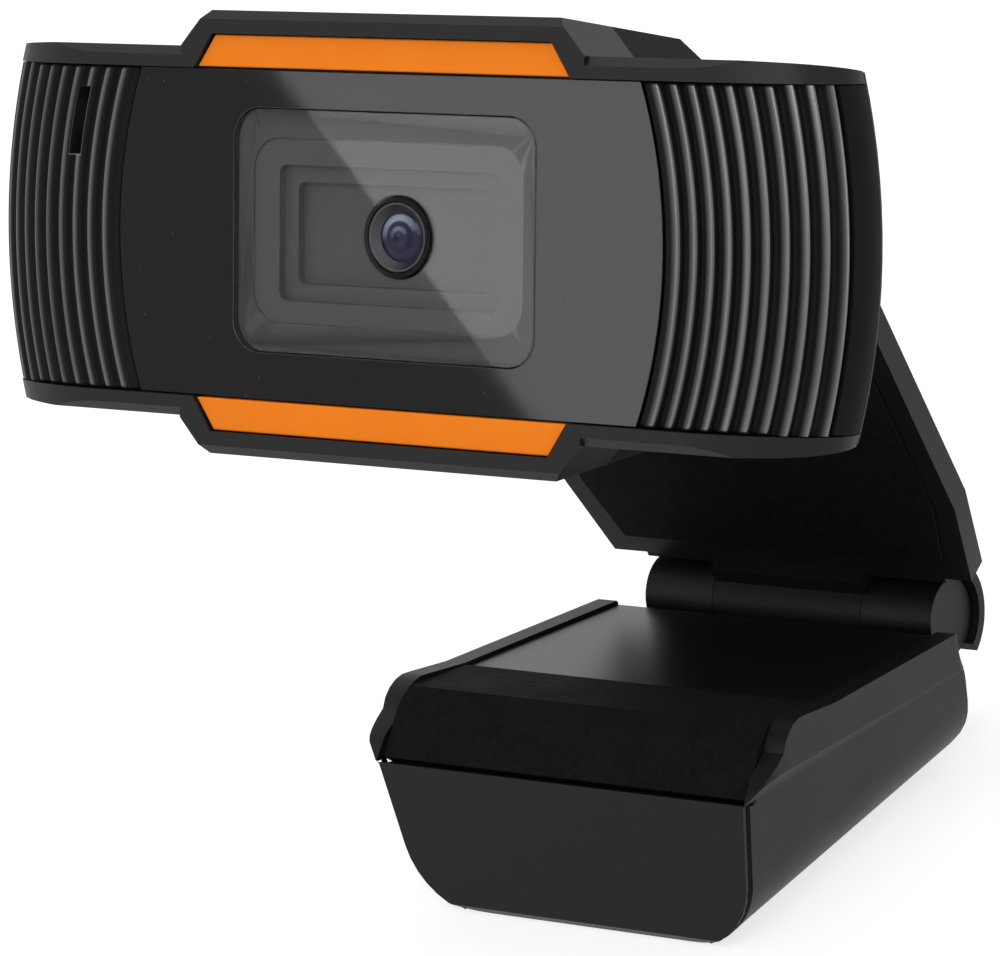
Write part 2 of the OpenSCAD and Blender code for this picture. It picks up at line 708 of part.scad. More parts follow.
// Small pan-head screw along Y with its head towards the back
module screw(y_seat, shank_l) {
    rod_y(screw_r, y_seat - shank_l, y_seat + screw_head_t / 2);
    difference() {
        rod_y(screw_head_r, y_seat, y_seat + screw_head_t);
        rounded_block(0.5, 2, 0.1, y_seat + screw_head_t / 2, y_seat + screw_head_t + past);
        rounded_block(2, 0.5, 0.1, y_seat + screw_head_t / 2, y_seat + screw_head_t + past);
    }
}
module board_screws() {
    color(steel) head_frame() at_board_posts() screw(board_back, 5);
}
module rear_housing() {
    color(shell_black) head_frame() difference() {
        union() {
            difference() {
                intersection() {
                    head_form(0);
                    block(-head_w, head_w, seam_d, head_d + past, -head_w, head_w);
                }
                head_form(wall);
            }
            intersection() {
                at_posts() rod_y(screw_post_r + 0.6, post_joint + 0.1, head_d + past);
                head_form(0);
            }
            block(-boss_r * 0.8, boss_r * 0.8, head_d - wall, swivel_y, boss_low, boss_top);
            translate([0, swivel_y, boss_low]) cylinder(r = boss_r, h = boss_top - boss_low);
        }
        translate([0, swivel_y, boss_low - past])
            cylinder(r = post_r + fit_gap, h = boss_top - boss_low + 2 * past);
        translate([0, swivel_y, boss_seat]) cylinder(r = boss_r - boss_wall, h = boss_top);
        at_posts() {
            rod_y(screw_r + 0.15, seam_d, head_d + past);
            rod_y(screw_head_r + 0.2, housing_screw_seat, head_d + past);
        }
        translate([gland_x, 0, gland_z]) rod_y(gland_r + gland_wall, head_d - 2 * wall, head_d + past);
    }
}
module housing_screws() {
    color(steel) head_frame() at_posts() screw(housing_screw_seat, 7);
}
module cable_gland() {
    color(rubber_black) head_frame() translate([gland_x, 0, gland_z]) difference() {
        union() {
            rod_y(gland_r + gland_wall, head_d - wall - 1, head_d + 3);
            rod_y(gland_r + gland_wall + 0.9, head_d - wall - 1.1, head_d - wall);
            rod_y(gland_r + gland_wall + 0.9, head_d, head_d + 0.9);
        }
        rod_y(gland_r, head_d - wall - 2, head_d + 3 + past);
    }
}
module boss_cap() {
    color(shell_black) head_frame() translate([0, swivel_y, boss_top - cap_t])
        cylinder(r = boss_r - boss_wall - seam, h = cap_t);
}

// Neck: a post under the head, and an arm back to the tilt knuckle
module at_tilt() {
    translate([0, tilt_back, -tilt_drop]) children();
}
module neck() {
    low = boss_low - fit_gap - flange_t;
    arm_front = swivel_y - flange_r + 0.2;
    color(shell_black) head_frame() {
        difference() {
            union() {
                translate([0, swivel_y, low]) cylinder(r = flange_r, h = flange_t);
                translate([0, swivel_y, low]) cylinder(r = post_r, h = boss_seat - low);
                difference() {
                    along_x(neck_half, [[arm_front, low], [arm_front, low - arm_t],
                        [tilt_back - 3.3, low - arm_t], [tilt_back - 1.1, low - 0.4],
                        [tilt_back + 2.9, -tilt_drop - 1], [tilt_back - 2.4, -tilt_drop + 0.9],
                        [tilt_back - 4.6, low]]);
                    at_tilt() rod_x(tilt_r - 0.2, -neck_half - past, neck_half + past);
                }
                at_tilt() rod_x(tilt_r, -neck_half, neck_half);
            }
            at_tilt() rod_x(pin_r + fit_gap, -neck_half - past, neck_half + past);
            translate([0, swivel_y, boss_low]) cylinder(r = screw_r + 0.03, h = boss_top - boss_low);
        }
    }
}
module swivel_washer() {
    color(steel) head_frame() translate([0, swivel_y, boss_seat + fit_gap]) difference() {
        cylinder(r = boss_r - boss_wall - 0.3, h = washer_t);
        translate([0, 0, -past]) cylinder(r = screw_r + 0.05, h = washer_t + 2 * past);
    }
}
module swivel_screw() {
    seat = boss_seat + fit_gap + washer_t;
    color(steel) head_frame() translate([0, swivel_y, 0]) difference() {
        union() {
            translate([0, 0, seat]) cylinder(r = swivel_head_r, h = screw_head_t);
            translate([0, 0, boss_low + 2]) cylinder(r = screw_r, h = seat - boss_low - 2);
        }
        translate([-1.5, -0.3, seat + screw_head_t / 2]) cube([3, 0.6, screw_head_t]);
    }
}

// Clip leaf with its hinge curl, middle knuckle and tilt lugs
module clip_arm() {
    color(shell_black) leaf_frame() difference() {
        union() {
            difference() {
                union() {
                    along_y(leaf_back, leaf_rear, concat(leaf_half_points, flip(leaf_half_points)));
                    // Root of the curl under the leaf's lower edge
                    block(-curl_half, curl_half, leaf_back + 1, leaf_rear, leaf_foot - 2, leaf_foot + 0.2);
                }
                block(-lug_in, lug_in, leaf_back - past, leaf_rear + past, notch_low, leaf_top + past);
                leaf_pad_form(0, leaf_back - past, leaf_back + pad_t - pad_proud);
                rod_x(curl_in, -head_w, head_w);
            }
            difference() {
                rod_x(curl_r, -curl_half, curl_half);
                rod_x(curl_in, -head_w, head_w);
                along_x(head_w, concat([[0, 0]], arc([0, 0], 2 * curl_r, 80, curl_end + 360, 8)));
            }
            rod_x(knuckle_r, -knuckle_half + fit_gap, knuckle_half - fit_gap);
            difference() {
                block(-knuckle_half + fit_gap, knuckle_half - fit_gap, -1, leaf_rear, 1, leaf_foot + 0.1);
                rod_x(pin_r, -head_w, head_w);
            }
            both_sides() translate([0, tilt_y, tilt_up]) rod_x(tilt_r, lug_in, lug_out);
        }
        rod_x(pin_r + fit_gap, -hinge_half, hinge_half);
        translate([0, tilt_y, tilt_up]) rod_x(pin_r, -lug_out - past, lug_out + past);
    }
}
module leaf_pad_form(g, y0, y1) {
    margin = leaf_pad_margin + g;
    half = [[leaf_foot_w / 2 - margin, leaf_foot + margin], [clip_half - margin, leaf_foot + leaf_flare],
        [clip_half - margin, notch_low - margin]];
    along_y(y0, y1, concat(half, flip(half)));
}
module arm_pad() {
    color(rubber_black) leaf_frame()
        leaf_pad_form(seam, leaf_back - pad_proud, leaf_back - pad_proud + pad_t);
}
module tilt_pin() {
    color(steel) leaf_frame() translate([0, tilt_y, tilt_up]) rod_x(pin_r, -lug_out, lug_out);
}
module tilt_washers() {
    color(steel) leaf_frame() translate([0, tilt_y, tilt_up]) both_sides() difference() {
        rod_x(tilt_r - 0.4, lug_in - tilt_washer_t, lug_in);
        rod_x(pin_r + 0.02, neck_half, lug_in + past);
    }
}

// Foot: a hollow shell with raised sides, closed by a cover and a soft pad. Its sides close in
// towards the hinge, and are half apart where the pad is highest.
module side_limit(half) {
    translate([half, brow_back, 0]) rotate([0, 0, side_taper]) translate([-half, 0, 0]) children();
}
module inside_limit(half) {
    side_limit(half) block(-2 * clip_half, half, -foot_l, 2 * foot_l, -past, 2 * brow_h);
}
module between_sides(half) {
    intersection() {
        children();
        inside_limit(half);
        mirror([1, 0, 0]) inside_limit(half);
    }
}
// Sections across the foot up to its right side, g inside its surface: the lower side leans out
// from the rounded lower edge, and the upper side leans out further from the crease
function lower_section(g) = let (
        edge = [foot_low_half - foot_corner_r, foot_corner_r]
            + (foot_corner_r - g) * [cos(side_lean), -sin(side_lean)])
    concat([[-2 * clip_half, g]],
    arc([foot_low_half - foot_corner_r, foot_corner_r], foot_corner_r - g, -90, -side_lean),
    [edge + (brow_h * 2 - edge[1]) * [tan(side_lean), 1], [-2 * clip_half, 2 * brow_h]]);
function upper_section(g) = [[-2 * clip_half, -crease_h / 2],
    [crease_x - g - crease_h / 2 * tan(upper_lean), -crease_h / 2],
    [crease_x - g + brow_h * tan(upper_lean), brow_h], [-2 * clip_half, brow_h]];
module right_side(g) {
    intersection() {
        union() {
            translate([foot_low_half, 0, 0]) rotate([0, 0, -lower_flare])
                translate([-foot_low_half, 0, 0]) along_y(-foot_l, 2 * foot_l, lower_section(g));
            side_limit(clip_half) translate([0, 0, crease_h]) rotate([-foot_slope, 0, 0])
                along_y(-foot_l, 2 * foot_l, upper_section(g));
        }
        inside_limit(clip_half - g);
    }
}
module foot_sides(g) {
    intersection() {
        right_side(g);
        mirror([1, 0, 0]) right_side(g);
    }
}
function foot_plan_half() = concat([[0, 0]],
    [for (i = [0:8]) let (a = 90 * i / 8) [clip_half - front_inset * (1 - sin(a)),
        front_round * (1 - cos(a))]],
    [[clip_half, foot_l - 3 * rear_round]],
    arc([foot_rear_half - rear_round, foot_l - rear_round], rear_round, 0, 90, 5), [[0, foot_l]]);
module foot_form() {
    intersection() {
        foot_sides(0);
        along_z(2 * brow_h, concat(foot_plan_half(), flip(foot_plan_half())));
    }
}
// The pad's outer line, lowered by d
function pad_line(d) = [[pad_nose, chin_h] + d * [sin(brow_slope), -cos(brow_slope)],
    [brow_back, brow_h] + d * [tan((brow_slope - foot_slope) / 2) * 0.6, -1],
    [pad_back, foot_top(pad_back) - d]];
function foot_underside() = concat([[0, base_ease], [base_ease, 0]],
    arc([foot_l - foot_rear_r, foot_rear_r], foot_rear_r, -90, 0));
// Web under an outer knuckle, from below the cover's rear edge to the floor's
module web() {
    start = 182 + asin((hinge_up - cover_end + cover_t) / (pocket_r + web_t));
    at_hinge() rotate([90, 0, 90]) translate([0, 0, knuckle_half]) linear_extrude(hinge_half - knuckle_half)
        polygon(concat([[0, 0]], arc([0, 0], pocket_r + web_t, start, 243, 6)));
}
module at_hinge() {
    translate([0, hinge_back, hinge_up]) children();
}
module foot_screw_place() {
    both_sides() translate([foot_screw_x, foot_screw_y, 0]) children();
}
module foot_shell() {
    color(shell_black) foot_frame() difference() {
        union() {
            difference() {
                intersection() {
                    foot_form();
                    union() {
                        along_x(head_w, core_side);
                        difference() {
                            along_x(head_w, side_wall_line);
                            between_sides(pad_half) along_x(head_w, side_wall_line);
                        }
                    }
                }
                intersection() {
                    foot_sides(foot_wall);
                    between_sides(foot_low_half - foot_wall) along_x(head_w, hollow_line);
                }
                between_sides(pad_half) along_x(head_w, [[pad_back, cover_low - cover_t],
                    [cover_back, cover_end - cover_t], [cover_back + past, 2 * brow_h],
                    [pad_back, 2 * brow_h]]);
                at_hinge() rod_x(pocket_r, -head_w, head_w);
            }
            both_sides() {
                web();
                at_hinge() rod_x(knuckle_r, knuckle_half, hinge_half);
            }
            foot_screw_place() cylinder(r = screw_post_r + 0.6, h = cover_boss_low - fit_gap);
        }
        at_hinge() rod_x(pin_r, -hinge_half - past, pin_end);
        foot_screw_place() {
            translate([0, 0, -past]) cylinder(r = screw_r + 0.1, h = brow_h);
            translate([0, 0, -past]) cylinder(r = screw_head_r + 0.2, h = past + foot_screw_seat);
        }
    }
}
module foot_cover() {
    color(gloss_black) foot_frame() difference() {
        union() {
            between_sides(pad_half - seam) along_x(head_w, [[pad_back + seam, cover_low],
                [cover_back, cover_end], [cover_back, cover_end - cover_t],
                [pad_back + seam, cover_low - cover_t]]);
            foot_screw_place() translate([0, 0, cover_boss_low])
                cylinder(r = screw_post_r, h = foot_top(foot_screw_y) - cover_t - cover_boss_low);
        }
        foot_screw_place() cylinder(r = screw_r + 0.03, h = foot_screw_l + 0.5);
    }
}
module grip_pad() {
    outer = pad_line(0);
    inner = pad_line(pad_t);
    color(rubber_black) foot_frame() intersection() {
        between_sides(pad_half - seam) along_x(head_w, [inner[0], outer[0],
            outer[1] - [brow_ease, brow_ease], outer[1] + [brow_ease, 0], outer[2], inner[2], inner[1]]);
        foot_form();
    }
}
module foot_screws() {
    color(steel) foot_frame() foot_screw_place() difference() {
        union() {
            translate([0, 0, foot_screw_seat - screw_head_t])
                cylinder(r = screw_head_r, h = screw_head_t);
            cylinder(r = screw_r, h = foot_screw_l);
        }
        translate([-1, -0.25, -past]) cube([2, 0.5, past + 1.2]);
        translate([0, 0, -past]) cylinder(r = screw_r + 0.1, h = past + 0.7);
    }
}
module hinge_pin() {
    color(steel) foot_frame() at_hinge() rod_x(pin_r, -hinge_half, pin_end);
}

front_frame();
face_panel();
window_pane();
trim_top();
trim_bottom();
cheek_left();
cheek_right();
lens_shroud();
lens_barrel();
lens_ring();
front_lens();
rear_lens();
lens_holder();
ir_filter();
image_sensor();
circuit_board();
controller_chip();
board_socket();
board_screws();
microphone();
mic_boot();
rear_housing();
housing_screws();
cable_gland();
boss_cap();
neck();
swivel_washer();
swivel_screw();
clip_arm();
arm_pad();
tilt_pin();
tilt_washers();
foot_shell();
foot_cover();
grip_pad();
foot_screws();
hinge_pin();
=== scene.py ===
"""Clip-on webcam: detailed pieces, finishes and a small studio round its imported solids.

Lengths inside the functions are millimetres along a body's own axes; Place puts them into
the shared frame in metres.
"""
import json
import math

import bmesh
import bpy
import numpy as np
from mathutils import Matrix, Vector


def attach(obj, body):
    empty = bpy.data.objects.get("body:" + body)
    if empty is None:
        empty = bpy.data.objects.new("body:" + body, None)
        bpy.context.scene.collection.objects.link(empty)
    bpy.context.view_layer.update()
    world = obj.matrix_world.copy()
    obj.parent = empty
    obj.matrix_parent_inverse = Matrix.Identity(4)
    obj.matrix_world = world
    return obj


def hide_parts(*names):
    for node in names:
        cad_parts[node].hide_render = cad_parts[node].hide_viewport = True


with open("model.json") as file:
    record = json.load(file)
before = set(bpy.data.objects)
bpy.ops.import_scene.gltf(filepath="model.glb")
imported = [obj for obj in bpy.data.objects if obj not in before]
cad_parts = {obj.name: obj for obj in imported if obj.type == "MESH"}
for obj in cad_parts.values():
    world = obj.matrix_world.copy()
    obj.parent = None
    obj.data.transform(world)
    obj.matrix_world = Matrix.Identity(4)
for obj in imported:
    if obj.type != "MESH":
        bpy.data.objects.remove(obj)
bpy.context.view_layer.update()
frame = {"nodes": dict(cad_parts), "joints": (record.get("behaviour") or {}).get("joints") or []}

bl_info = {
    "name": "Clip-on webcam",
    "version": (1, 0, 0),
    "blender": (4, 5, 0),
    "location": "3D View > Sidebar > Webcam",
    "description": "Builds a webcam with a folding clip, piece by piece",
    "category": "Object",
}

MM = 0.001
JOINTS = {joint["name"]: joint for joint in frame["joints"]}


# ---------------------------------------------------------------- places

class Place:
    """A body's own axes at rest: origin in metres, turned about +X by an angle in radians."""

    def __init__(self, origin, turn):
        c, s = math.cos(turn), math.sin(turn)
        self.axes = np.array([[1, 0, 0], [0, c, -s], [0, s, c]])
        self.origin = np.array(origin, float)

    def put(self, points):
        """Shared frame = origin + axes times the point, in metres."""
        return np.asarray(points, float) @ self.axes.T * MM + self.origin

    def at(self, x, y, z):
        """One point in the shared frame."""
        return tuple(self.put((x, y, z)))


def joint_place(name):
    """A joint's place in the shared frame at rest, in metres."""
    return np.array(JOINTS[name]["pos_m"], float)


RECLINE = math.atan2(JOINTS["head_swivel"]["axis"][1], JOINTS["head_swivel"]["axis"][2])
SWIVEL_IN_HEAD = (0, 25.6, -3.0)     # the swivel joint's place along the head's axes
HINGE_IN_FOOT = (0, 37.6, 10.9)      # the clip hinge's place along the foot's axes

HEAD = Place((0, 0, 0), -RECLINE)
HEAD.origin = joint_place("head_swivel") - HEAD.put(SWIVEL_IN_HEAD)
FOOT = Place(joint_place("clip_hinge") - np.array(HINGE_IN_FOOT) * MM, 0)


# ---------------------------------------------------------------- sizes and colours

def size(name, description, value):
    """A length property in metres, given here in millimetres."""
    return bpy.props.FloatProperty(name=name, description=description, default=value * MM,
                                   unit="LENGTH", subtype="DISTANCE", precision=5)


def colour(name, description, value):
    return bpy.props.FloatVectorProperty(name=name, description=description, default=value,
                                         subtype="COLOR", size=3, min=0, max=1)


class WebcamSizes(bpy.types.PropertyGroup):
    """Sizes of the details that a maker would change"""
    rib_depth: size("Rib depth", "Depth of the grooves between the cheeks' ribs", 0.5)
    shell_ease: size("Shell easing", "Rounding of the housings' edges", 0.22)
    trim_ease: size("Trim easing", "Rounding of the trim strips' edges", 0.12)
    panel_ease: size("Panel easing", "Rounding of the face panel's edges", 0.06)
    clip_ease: size("Clip easing", "Rounding of the clip leaf's edges", 0.22)
    foot_ease: size("Foot easing", "Rounding of the foot's edges", 0.4)


class WebcamColours(bpy.types.PropertyGroup):
    """Colours of the finishes"""
    shell: colour("Shell", "Satin black of the housings", (0.0062, 0.0058, 0.0060))
    cheek: colour("Cheeks", "Satin black of the ribbed cheeks", (0.011, 0.0105, 0.011))
    panel: colour("Face panel", "Polished black of the face panel", (0.006, 0.006, 0.0065))
    trim: colour("Trim", "Orange of the trim strips", (1.0, 0.222, 0.0076))
    shroud: colour("Lens surround", "Grey of the stepped surround", (0.0262, 0.0241, 0.0262))
    clip: colour("Clip", "Black of the clip leaf", (0.0105, 0.0093, 0.0106))
    foot: colour("Foot", "Satin black of the foot", (0.0052, 0.0045, 0.0052))
    rubber: colour("Rubber", "Soft black of the pads", (0.0055, 0.0048, 0.0056))


# ---------------------------------------------------------------- finishes

class Wire:
    """An output socket. Arithmetic on wires adds Math nodes to the material."""

    def __init__(self, finish, socket):
        self.finish, self.socket = finish, socket

    def _math(self, operation, *values):
        return self.finish.node("ShaderNodeMath", {"operation": operation}, dict(enumerate(values)))

    def __add__(self, other):
        return self._math("ADD", self, other)

    def __sub__(self, other):
        return self._math("SUBTRACT", self, other)

    def __rsub__(self, other):
        return self._math("SUBTRACT", other, self)

    def __mul__(self, other):
        return self._math("MULTIPLY", self, other)

    __radd__ = __add__
    __rmul__ = __mul__


class Finish:
    """A node material under construction."""

    def __init__(self, name):
        self.material = bpy.data.materials.new(name)
        self.material.use_nodes = True
        self.tree = self.material.node_tree
        self.tree.nodes.clear()
        self.place = self.node("ShaderNodeTexCoord", out="Object")

    def node(self, kind, settings=None, inputs=None, out=0):
        """Any node: its settings are set first, then its sockets' values or links."""
        made = self.tree.nodes.new(kind)
        for name, value in (settings or {}).items():
            if name == "stops":
                self._stops(made.color_ramp, value)
            else:
                setattr(made, name, value)
        for name, value in (inputs or {}).items():
            if isinstance(value, Wire):
                self.tree.links.new(value.socket, made.inputs[name])
            else:
                made.inputs[name].default_value = value
        return Wire(self, made.outputs[out]) if len(made.outputs) else made

    @staticmethod
    def _stops(ramp, stops):
        while len(ramp.elements) < len(stops):
            ramp.elements.new(0.5)
        for element, (position, level) in zip(ramp.elements, stops):
            element.position = position
            element.color = (level, level, level, 1)

    def noise(self, size_mm, detail=2.0, roughness=0.5, along=None):
        """Noise whose cells are size_mm across, from 0 to 1; along stretches it by axis."""
        place = self.place
        if along:
            place = self.node("ShaderNodeMapping", {"vector_type": "POINT"},
                              {"Vector": place, "Scale": along})
        return self.node("ShaderNodeTexNoise", {"noise_dimensions": "3D"},
                         {"Vector": place, "Scale": 1 / (size_mm * MM), "Detail": detail,
                          "Roughness": roughness})

    def ramp(self, value, *stops):
        """Steps of grey over value, each stop a position and a level."""
        return self.node("ShaderNodeValToRGB", {"stops": stops}, {"Fac": value})

    def blend(self, share, first, second):
        """First colour where share is 0, second where it is 1."""
        colours = [value if isinstance(value, Wire) else (*value, 1) for value in (first, second)]
        return self.node("ShaderNodeMix", {"data_type": "RGBA"},
                         {0: share, 6: colours[0], 7: colours[1]}, out=2)

    def bump(self, height, depth_mm):
        """Normals of a relief whose height of 0 to 1 is depth_mm deep."""
        return self.node("ShaderNodeBump", None,
                         {"Height": height, "Distance": depth_mm * MM, "Strength": 1.0})

    def surface(self, **sockets):
        """Ends the material in a Principled surface with these sockets."""
        names = {name.replace("_", " "): value for name, value in sockets.items()}
        names = {name if name == "IOR" else name.title().replace("Ior", "IOR"): value
                 for name, value in names.items()}
        for name, value in list(names.items()):
            if isinstance(value, tuple) and len(value) == 3:
                names[name] = (*value, 1)
        shader = self.node("ShaderNodeBsdfPrincipled", None, names)
        self.end(shader)
        return self.material

    def end(self, shader):
        """Joins a shader to the material's output."""
        self.node("ShaderNodeOutputMaterial", None, {"Surface": shader})


# Attributes that the finishes read from a mesh
GROOVE_SHADE = "groove"        # a cheek's dullness and painted shade: 0 on a crest, where a painted highlight lies, 1 on a groove's floor
RADIUS = "radius"        # way from the lens axis: 0 on it, 1 at the rim
LENS_HIGHLIGHT = "sheen"          # painted highlight on the lens's inner rings, by the turn about the axis


def times(values, factor):
    """A colour with each value multiplied, up to 1."""
    return tuple(min(1.0, v * factor) for v in values)


def moulded(name, base, grain_mm=0.16, grain_depth=0.012, rough=0.42, gloss=0.5, lint=0.5):
    """Moulded plastic: spark-eroded grain, cloudy gloss, faint handling marks and lint."""
    f = Finish(name)
    cloud = f.noise(9.0, 3.0)
    grain = f.noise(grain_mm, 2.0, 0.6)
    marks = f.ramp(f.noise(1.6, 4.0, 0.7, along=(1.0, 0.35, 2.4)), (0.55, 0.0), (0.8, 1.0))
    specks = f.ramp(f.noise(0.5, 0.0), (0.80, 0.0), (0.84, lint))
    tone = f.blend(cloud, times(base, 0.86), times(base, 1.14))
    tone = f.blend(grain * 0.35, tone, times(base, 1.5))
    tone = f.blend(specks * 0.03, tone, (0.2, 0.2, 0.2))
    return f.surface(base_color=tone,
                     roughness=rough + (cloud - 0.5) * 0.10 + (grain - 0.5) * 0.12 - marks * 0.05,
                     specular_IOR_level=gloss,
                     normal=f.bump(grain, grain_depth))


def ribbed_plastic(name, base):
    """Satin black with polished crests: the groove attribute, 0 on a crest and 1 on a groove's
    floor, takes the coat off and leaves the floor matt, darkened as painted shade, and lightens
    the crests as a painted highlight."""
    f = Finish(name)
    groove = f.node("ShaderNodeAttribute", {"attribute_name": GROOVE_SHADE}, out="Fac")
    grain = f.noise(0.16, 2.0, 0.6)
    cloud = f.noise(7.0, 3.0)
    crest = f.ramp(groove, (0.05, 1.0), (0.7, 0.0))
    # Painted shade: the base darkens towards the grooves' floors, and a painted highlight lightens
    # the crests
    tone = f.blend(groove, times(base, 1.5), times(base, 0.22))
    tone = f.blend(cloud * 0.3, tone, times(base, 0.7))
    return f.surface(base_color=tone, roughness=0.5 + groove * 0.2 + (grain - 0.5) * 0.1,
                     specular_IOR_level=0.12, coat_weight=crest * (0.8 + cloud * 0.3),
                     coat_roughness=0.28, coat_IOR=2.15, normal=f.bump(grain, 0.008))


def polished(name, base, rough=0.035, gloss=0.5):
    """Polished black plastic: mirror gloss, a trace of orange peel, hairlines and dust."""
    f = Finish(name)
    peel = f.noise(3.0, 1.0)
    hair = f.ramp(f.noise(0.25, 2.0, 0.6, along=(0.12, 1.0, 1.0)), (0.62, 0.0), (0.75, 1.0))
    dust = f.ramp(f.noise(0.22, 0.0), (0.84, 0.0), (0.88, 1.0))
    tone = f.blend(dust * 0.02, base, (0.25, 0.25, 0.26))
    return f.surface(base_color=tone, roughness=rough + hair * 0.03 + dust * 0.25,
                     specular_IOR_level=gloss, normal=f.bump(peel, 0.0006))


def trim_paint(name, base):
    """Orange lacquer over moulded strip: fine sparkle, gentle peel, thin clear coat."""
    f = Finish(name)
    grain = f.noise(0.12, 2.0, 0.6)
    cloud = f.noise(6.0, 2.0)
    tone = f.blend(cloud, times(base, 0.93), (base[0], base[1] * 1.12, base[2] * 1.6))
    tone = f.blend(grain * 0.25, tone, (min(1, base[0] * 1.05), base[1] * 1.35, base[2] * 2.2))
    return f.surface(base_color=tone, roughness=0.38 + (grain - 0.5) * 0.14,
                     specular_IOR_level=0.04, coat_weight=0.03, coat_roughness=0.25,
                     normal=f.bump(grain, 0.006))


def soft_rubber(name, base, weave_mm=0.5, depth=0.03):
    """Fine pebbled rubber: rounded cells, lighter on their tops and darker in their valleys."""
    f = Finish(name)
    cells = f.node("ShaderNodeTexVoronoi", {"feature": "SMOOTH_F1"},
                   {"Vector": f.place, "Scale": 1 / (weave_mm * MM), "Smoothness": 0.6},
                   out="Distance")
    fine = f.noise(0.12, 2.0)
    height = (1 - cells) + fine * 0.25
    wear = f.ramp(f.noise(4.0, 3.0), (0.35, 0.0), (0.75, 1.0))
    tone = f.blend(cells, times(base, 1.5), times(base, 0.55))
    tone = f.blend(wear * 0.3, tone, times(base, 1.7))
    return f.surface(base_color=tone, roughness=0.66 + fine * 0.2 - wear * 0.08,
                     specular_IOR_level=0.06, normal=f.bump(height, depth))


def clear_window(name, spot, spot_r):
    """Thin clear pane that mirrors the studio at its surface, but for a round spot (centre in
    metres, radius in millimetres) without gloss before the lens."""
    f = Finish(name)
    haze = f.noise(5.0, 3.0)
    away = f.node("ShaderNodeVectorMath", {"operation": "DISTANCE"}, {0: f.place, 1: spot},
                  out="Value")
    gloss = f.ramp(away * (1 / (2 * spot_r * MM)), (0.485, 0.0), (0.515, 1.0))
    return f.surface(base_color=(1.0, 1.0, 1.0), roughness=0.0, transmission_weight=1.0, IOR=1.0,
                     coat_weight=gloss * (0.96 + haze * 0.08), coat_IOR=1.37,
                     coat_roughness=0.015)


def turned_metal(name, base, rough=0.22):
    """Turned or drawn steel with fine rings of tool marks."""
    f = Finish(name)
    marks = f.noise(0.10, 3.0, 0.7)
    stain = f.noise(2.5, 2.0)
    tone = f.blend(stain, times(base, 0.85), times(base, 1.1))
    return f.surface(base_color=tone, metallic=1.0, roughness=rough + marks * 0.16,
                     normal=f.bump(marks, 0.002))


def coated_glass(name, radius=None):
    """Lens glass with a violet-blue coating, deep and dark. With a radius attribute, 0 on the
    axis and 1 at the rim, the inner rings of the lens show through it as a painted highlight,
    lit on one side of the lens only."""
    f = Finish(name)
    tint = f.noise(1.2, 2.0)
    tone = f.blend(tint, (0.004, 0.004, 0.012), (0.010, 0.007, 0.022))
    if radius:
        out = f.node("ShaderNodeAttribute", {"attribute_name": radius}, out="Fac")
        rings = f.ramp(out, (0.0, 0.10), (0.20, 0.0), (0.28, 0.30), (0.38, 0.25), (0.44, 0.0),
                       (0.58, 0.05), (0.64, 0.60), (0.80, 0.50), (0.88, 0.0))
        # Painted highlight: the inner rings lit bluish white on one side of the lens
        turn = f.node("ShaderNodeAttribute", {"attribute_name": LENS_HIGHLIGHT}, out="Fac")
        tone = f.blend(rings * turn, tone, (0.240, 0.270, 0.340))
    return f.surface(base_color=tone, roughness=0.05 + tint * 0.03, specular_IOR_level=0.12,
                     coat_weight=0.15, coat_roughness=0.10, specular_tint=(0.55, 0.62, 1.0))


def laminate(name):
    """Green circuit board under solder mask: weave, and a faint pattern of tracks."""
    f = Finish(name)
    weave = f.noise(0.3, 2.0, along=(1.0, 1.0, 3.0))
    tracks = f.ramp(f.noise(1.1, 0.0, along=(0.4, 1.0, 2.2)), (0.49, 0.0), (0.52, 1.0))
    tone = f.blend(tracks, (0.006, 0.055, 0.020), (0.012, 0.115, 0.045))
    return f.surface(base_color=tone, roughness=0.3 + weave * 0.2, normal=f.bump(tracks, 0.02))


# ---------------------------------------------------------------- meshes

def grid_faces(rows, cols, wrap_rows=False, wrap_cols=False):
    """Corner numbers of a grid's quads, where vertex (i, j) is number i * cols + j."""
    i, j = np.meshgrid(np.arange(rows if wrap_rows else rows - 1),
                       np.arange(cols if wrap_cols else cols - 1), indexing="ij")
    i1, j1 = (i + 1) % rows, (j + 1) % cols
    return np.stack([i * cols + j, i * cols + j1, i1 * cols + j1, i1 * cols + j], -1).reshape(-1, 4)


def finished(name, mesh, material, body, replaced=(), crease=32):
    """Object at the origin for a mesh that is already in place, riding on its body."""
    mesh.materials.clear()
    mesh.materials.append(material)
    mesh.shade_smooth()
    mesh.set_sharp_from_angle(angle=math.radians(crease))
    piece = bpy.data.objects.new(name, mesh)
    bpy.context.scene.collection.objects.link(piece)
    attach(piece, body)
    if replaced:
        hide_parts(*replaced)
    return piece


def cleaned(mesh, gap=2e-6):
    """Merges doubled points and turns every face outwards."""
    work = bmesh.new()
    work.from_mesh(mesh)
    bmesh.ops.remove_doubles(work, verts=work.verts, dist=gap)
    bmesh.ops.dissolve_degenerate(work, edges=work.edges, dist=gap / 2)
    bmesh.ops.recalc_face_normals(work, faces=work.faces)
    work.to_mesh(mesh)
    work.free()
    return mesh


def swept(name, place, grids, attributes=()):
    """Closed mesh from grids of points in millimetres (rings, points of a ring, 3): each grid's
    rings are joined and both its ends are capped. Attributes hold one value per point."""
    points, faces, start = [], [], 0
    for grid in grids:
        rows, cols = grid.shape[:2]
        points.append(place.put(grid.reshape(-1, 3)))
        faces += (grid_faces(rows, cols, wrap_cols=True) + start).tolist()
        faces += [list(range(start, start + cols)),
                  list(range(start + (rows - 1) * cols, start + rows * cols))]
        start += rows * cols
    mesh = bpy.data.meshes.new(name)
    mesh.from_pydata(np.concatenate(points).tolist(), [], faces)
    for attribute, values in attributes:
        mesh.attributes.new(attribute, "FLOAT", "POINT").data.foreach_set(
            "value", np.asarray(values, np.float32).ravel())
    return cleaned(mesh)


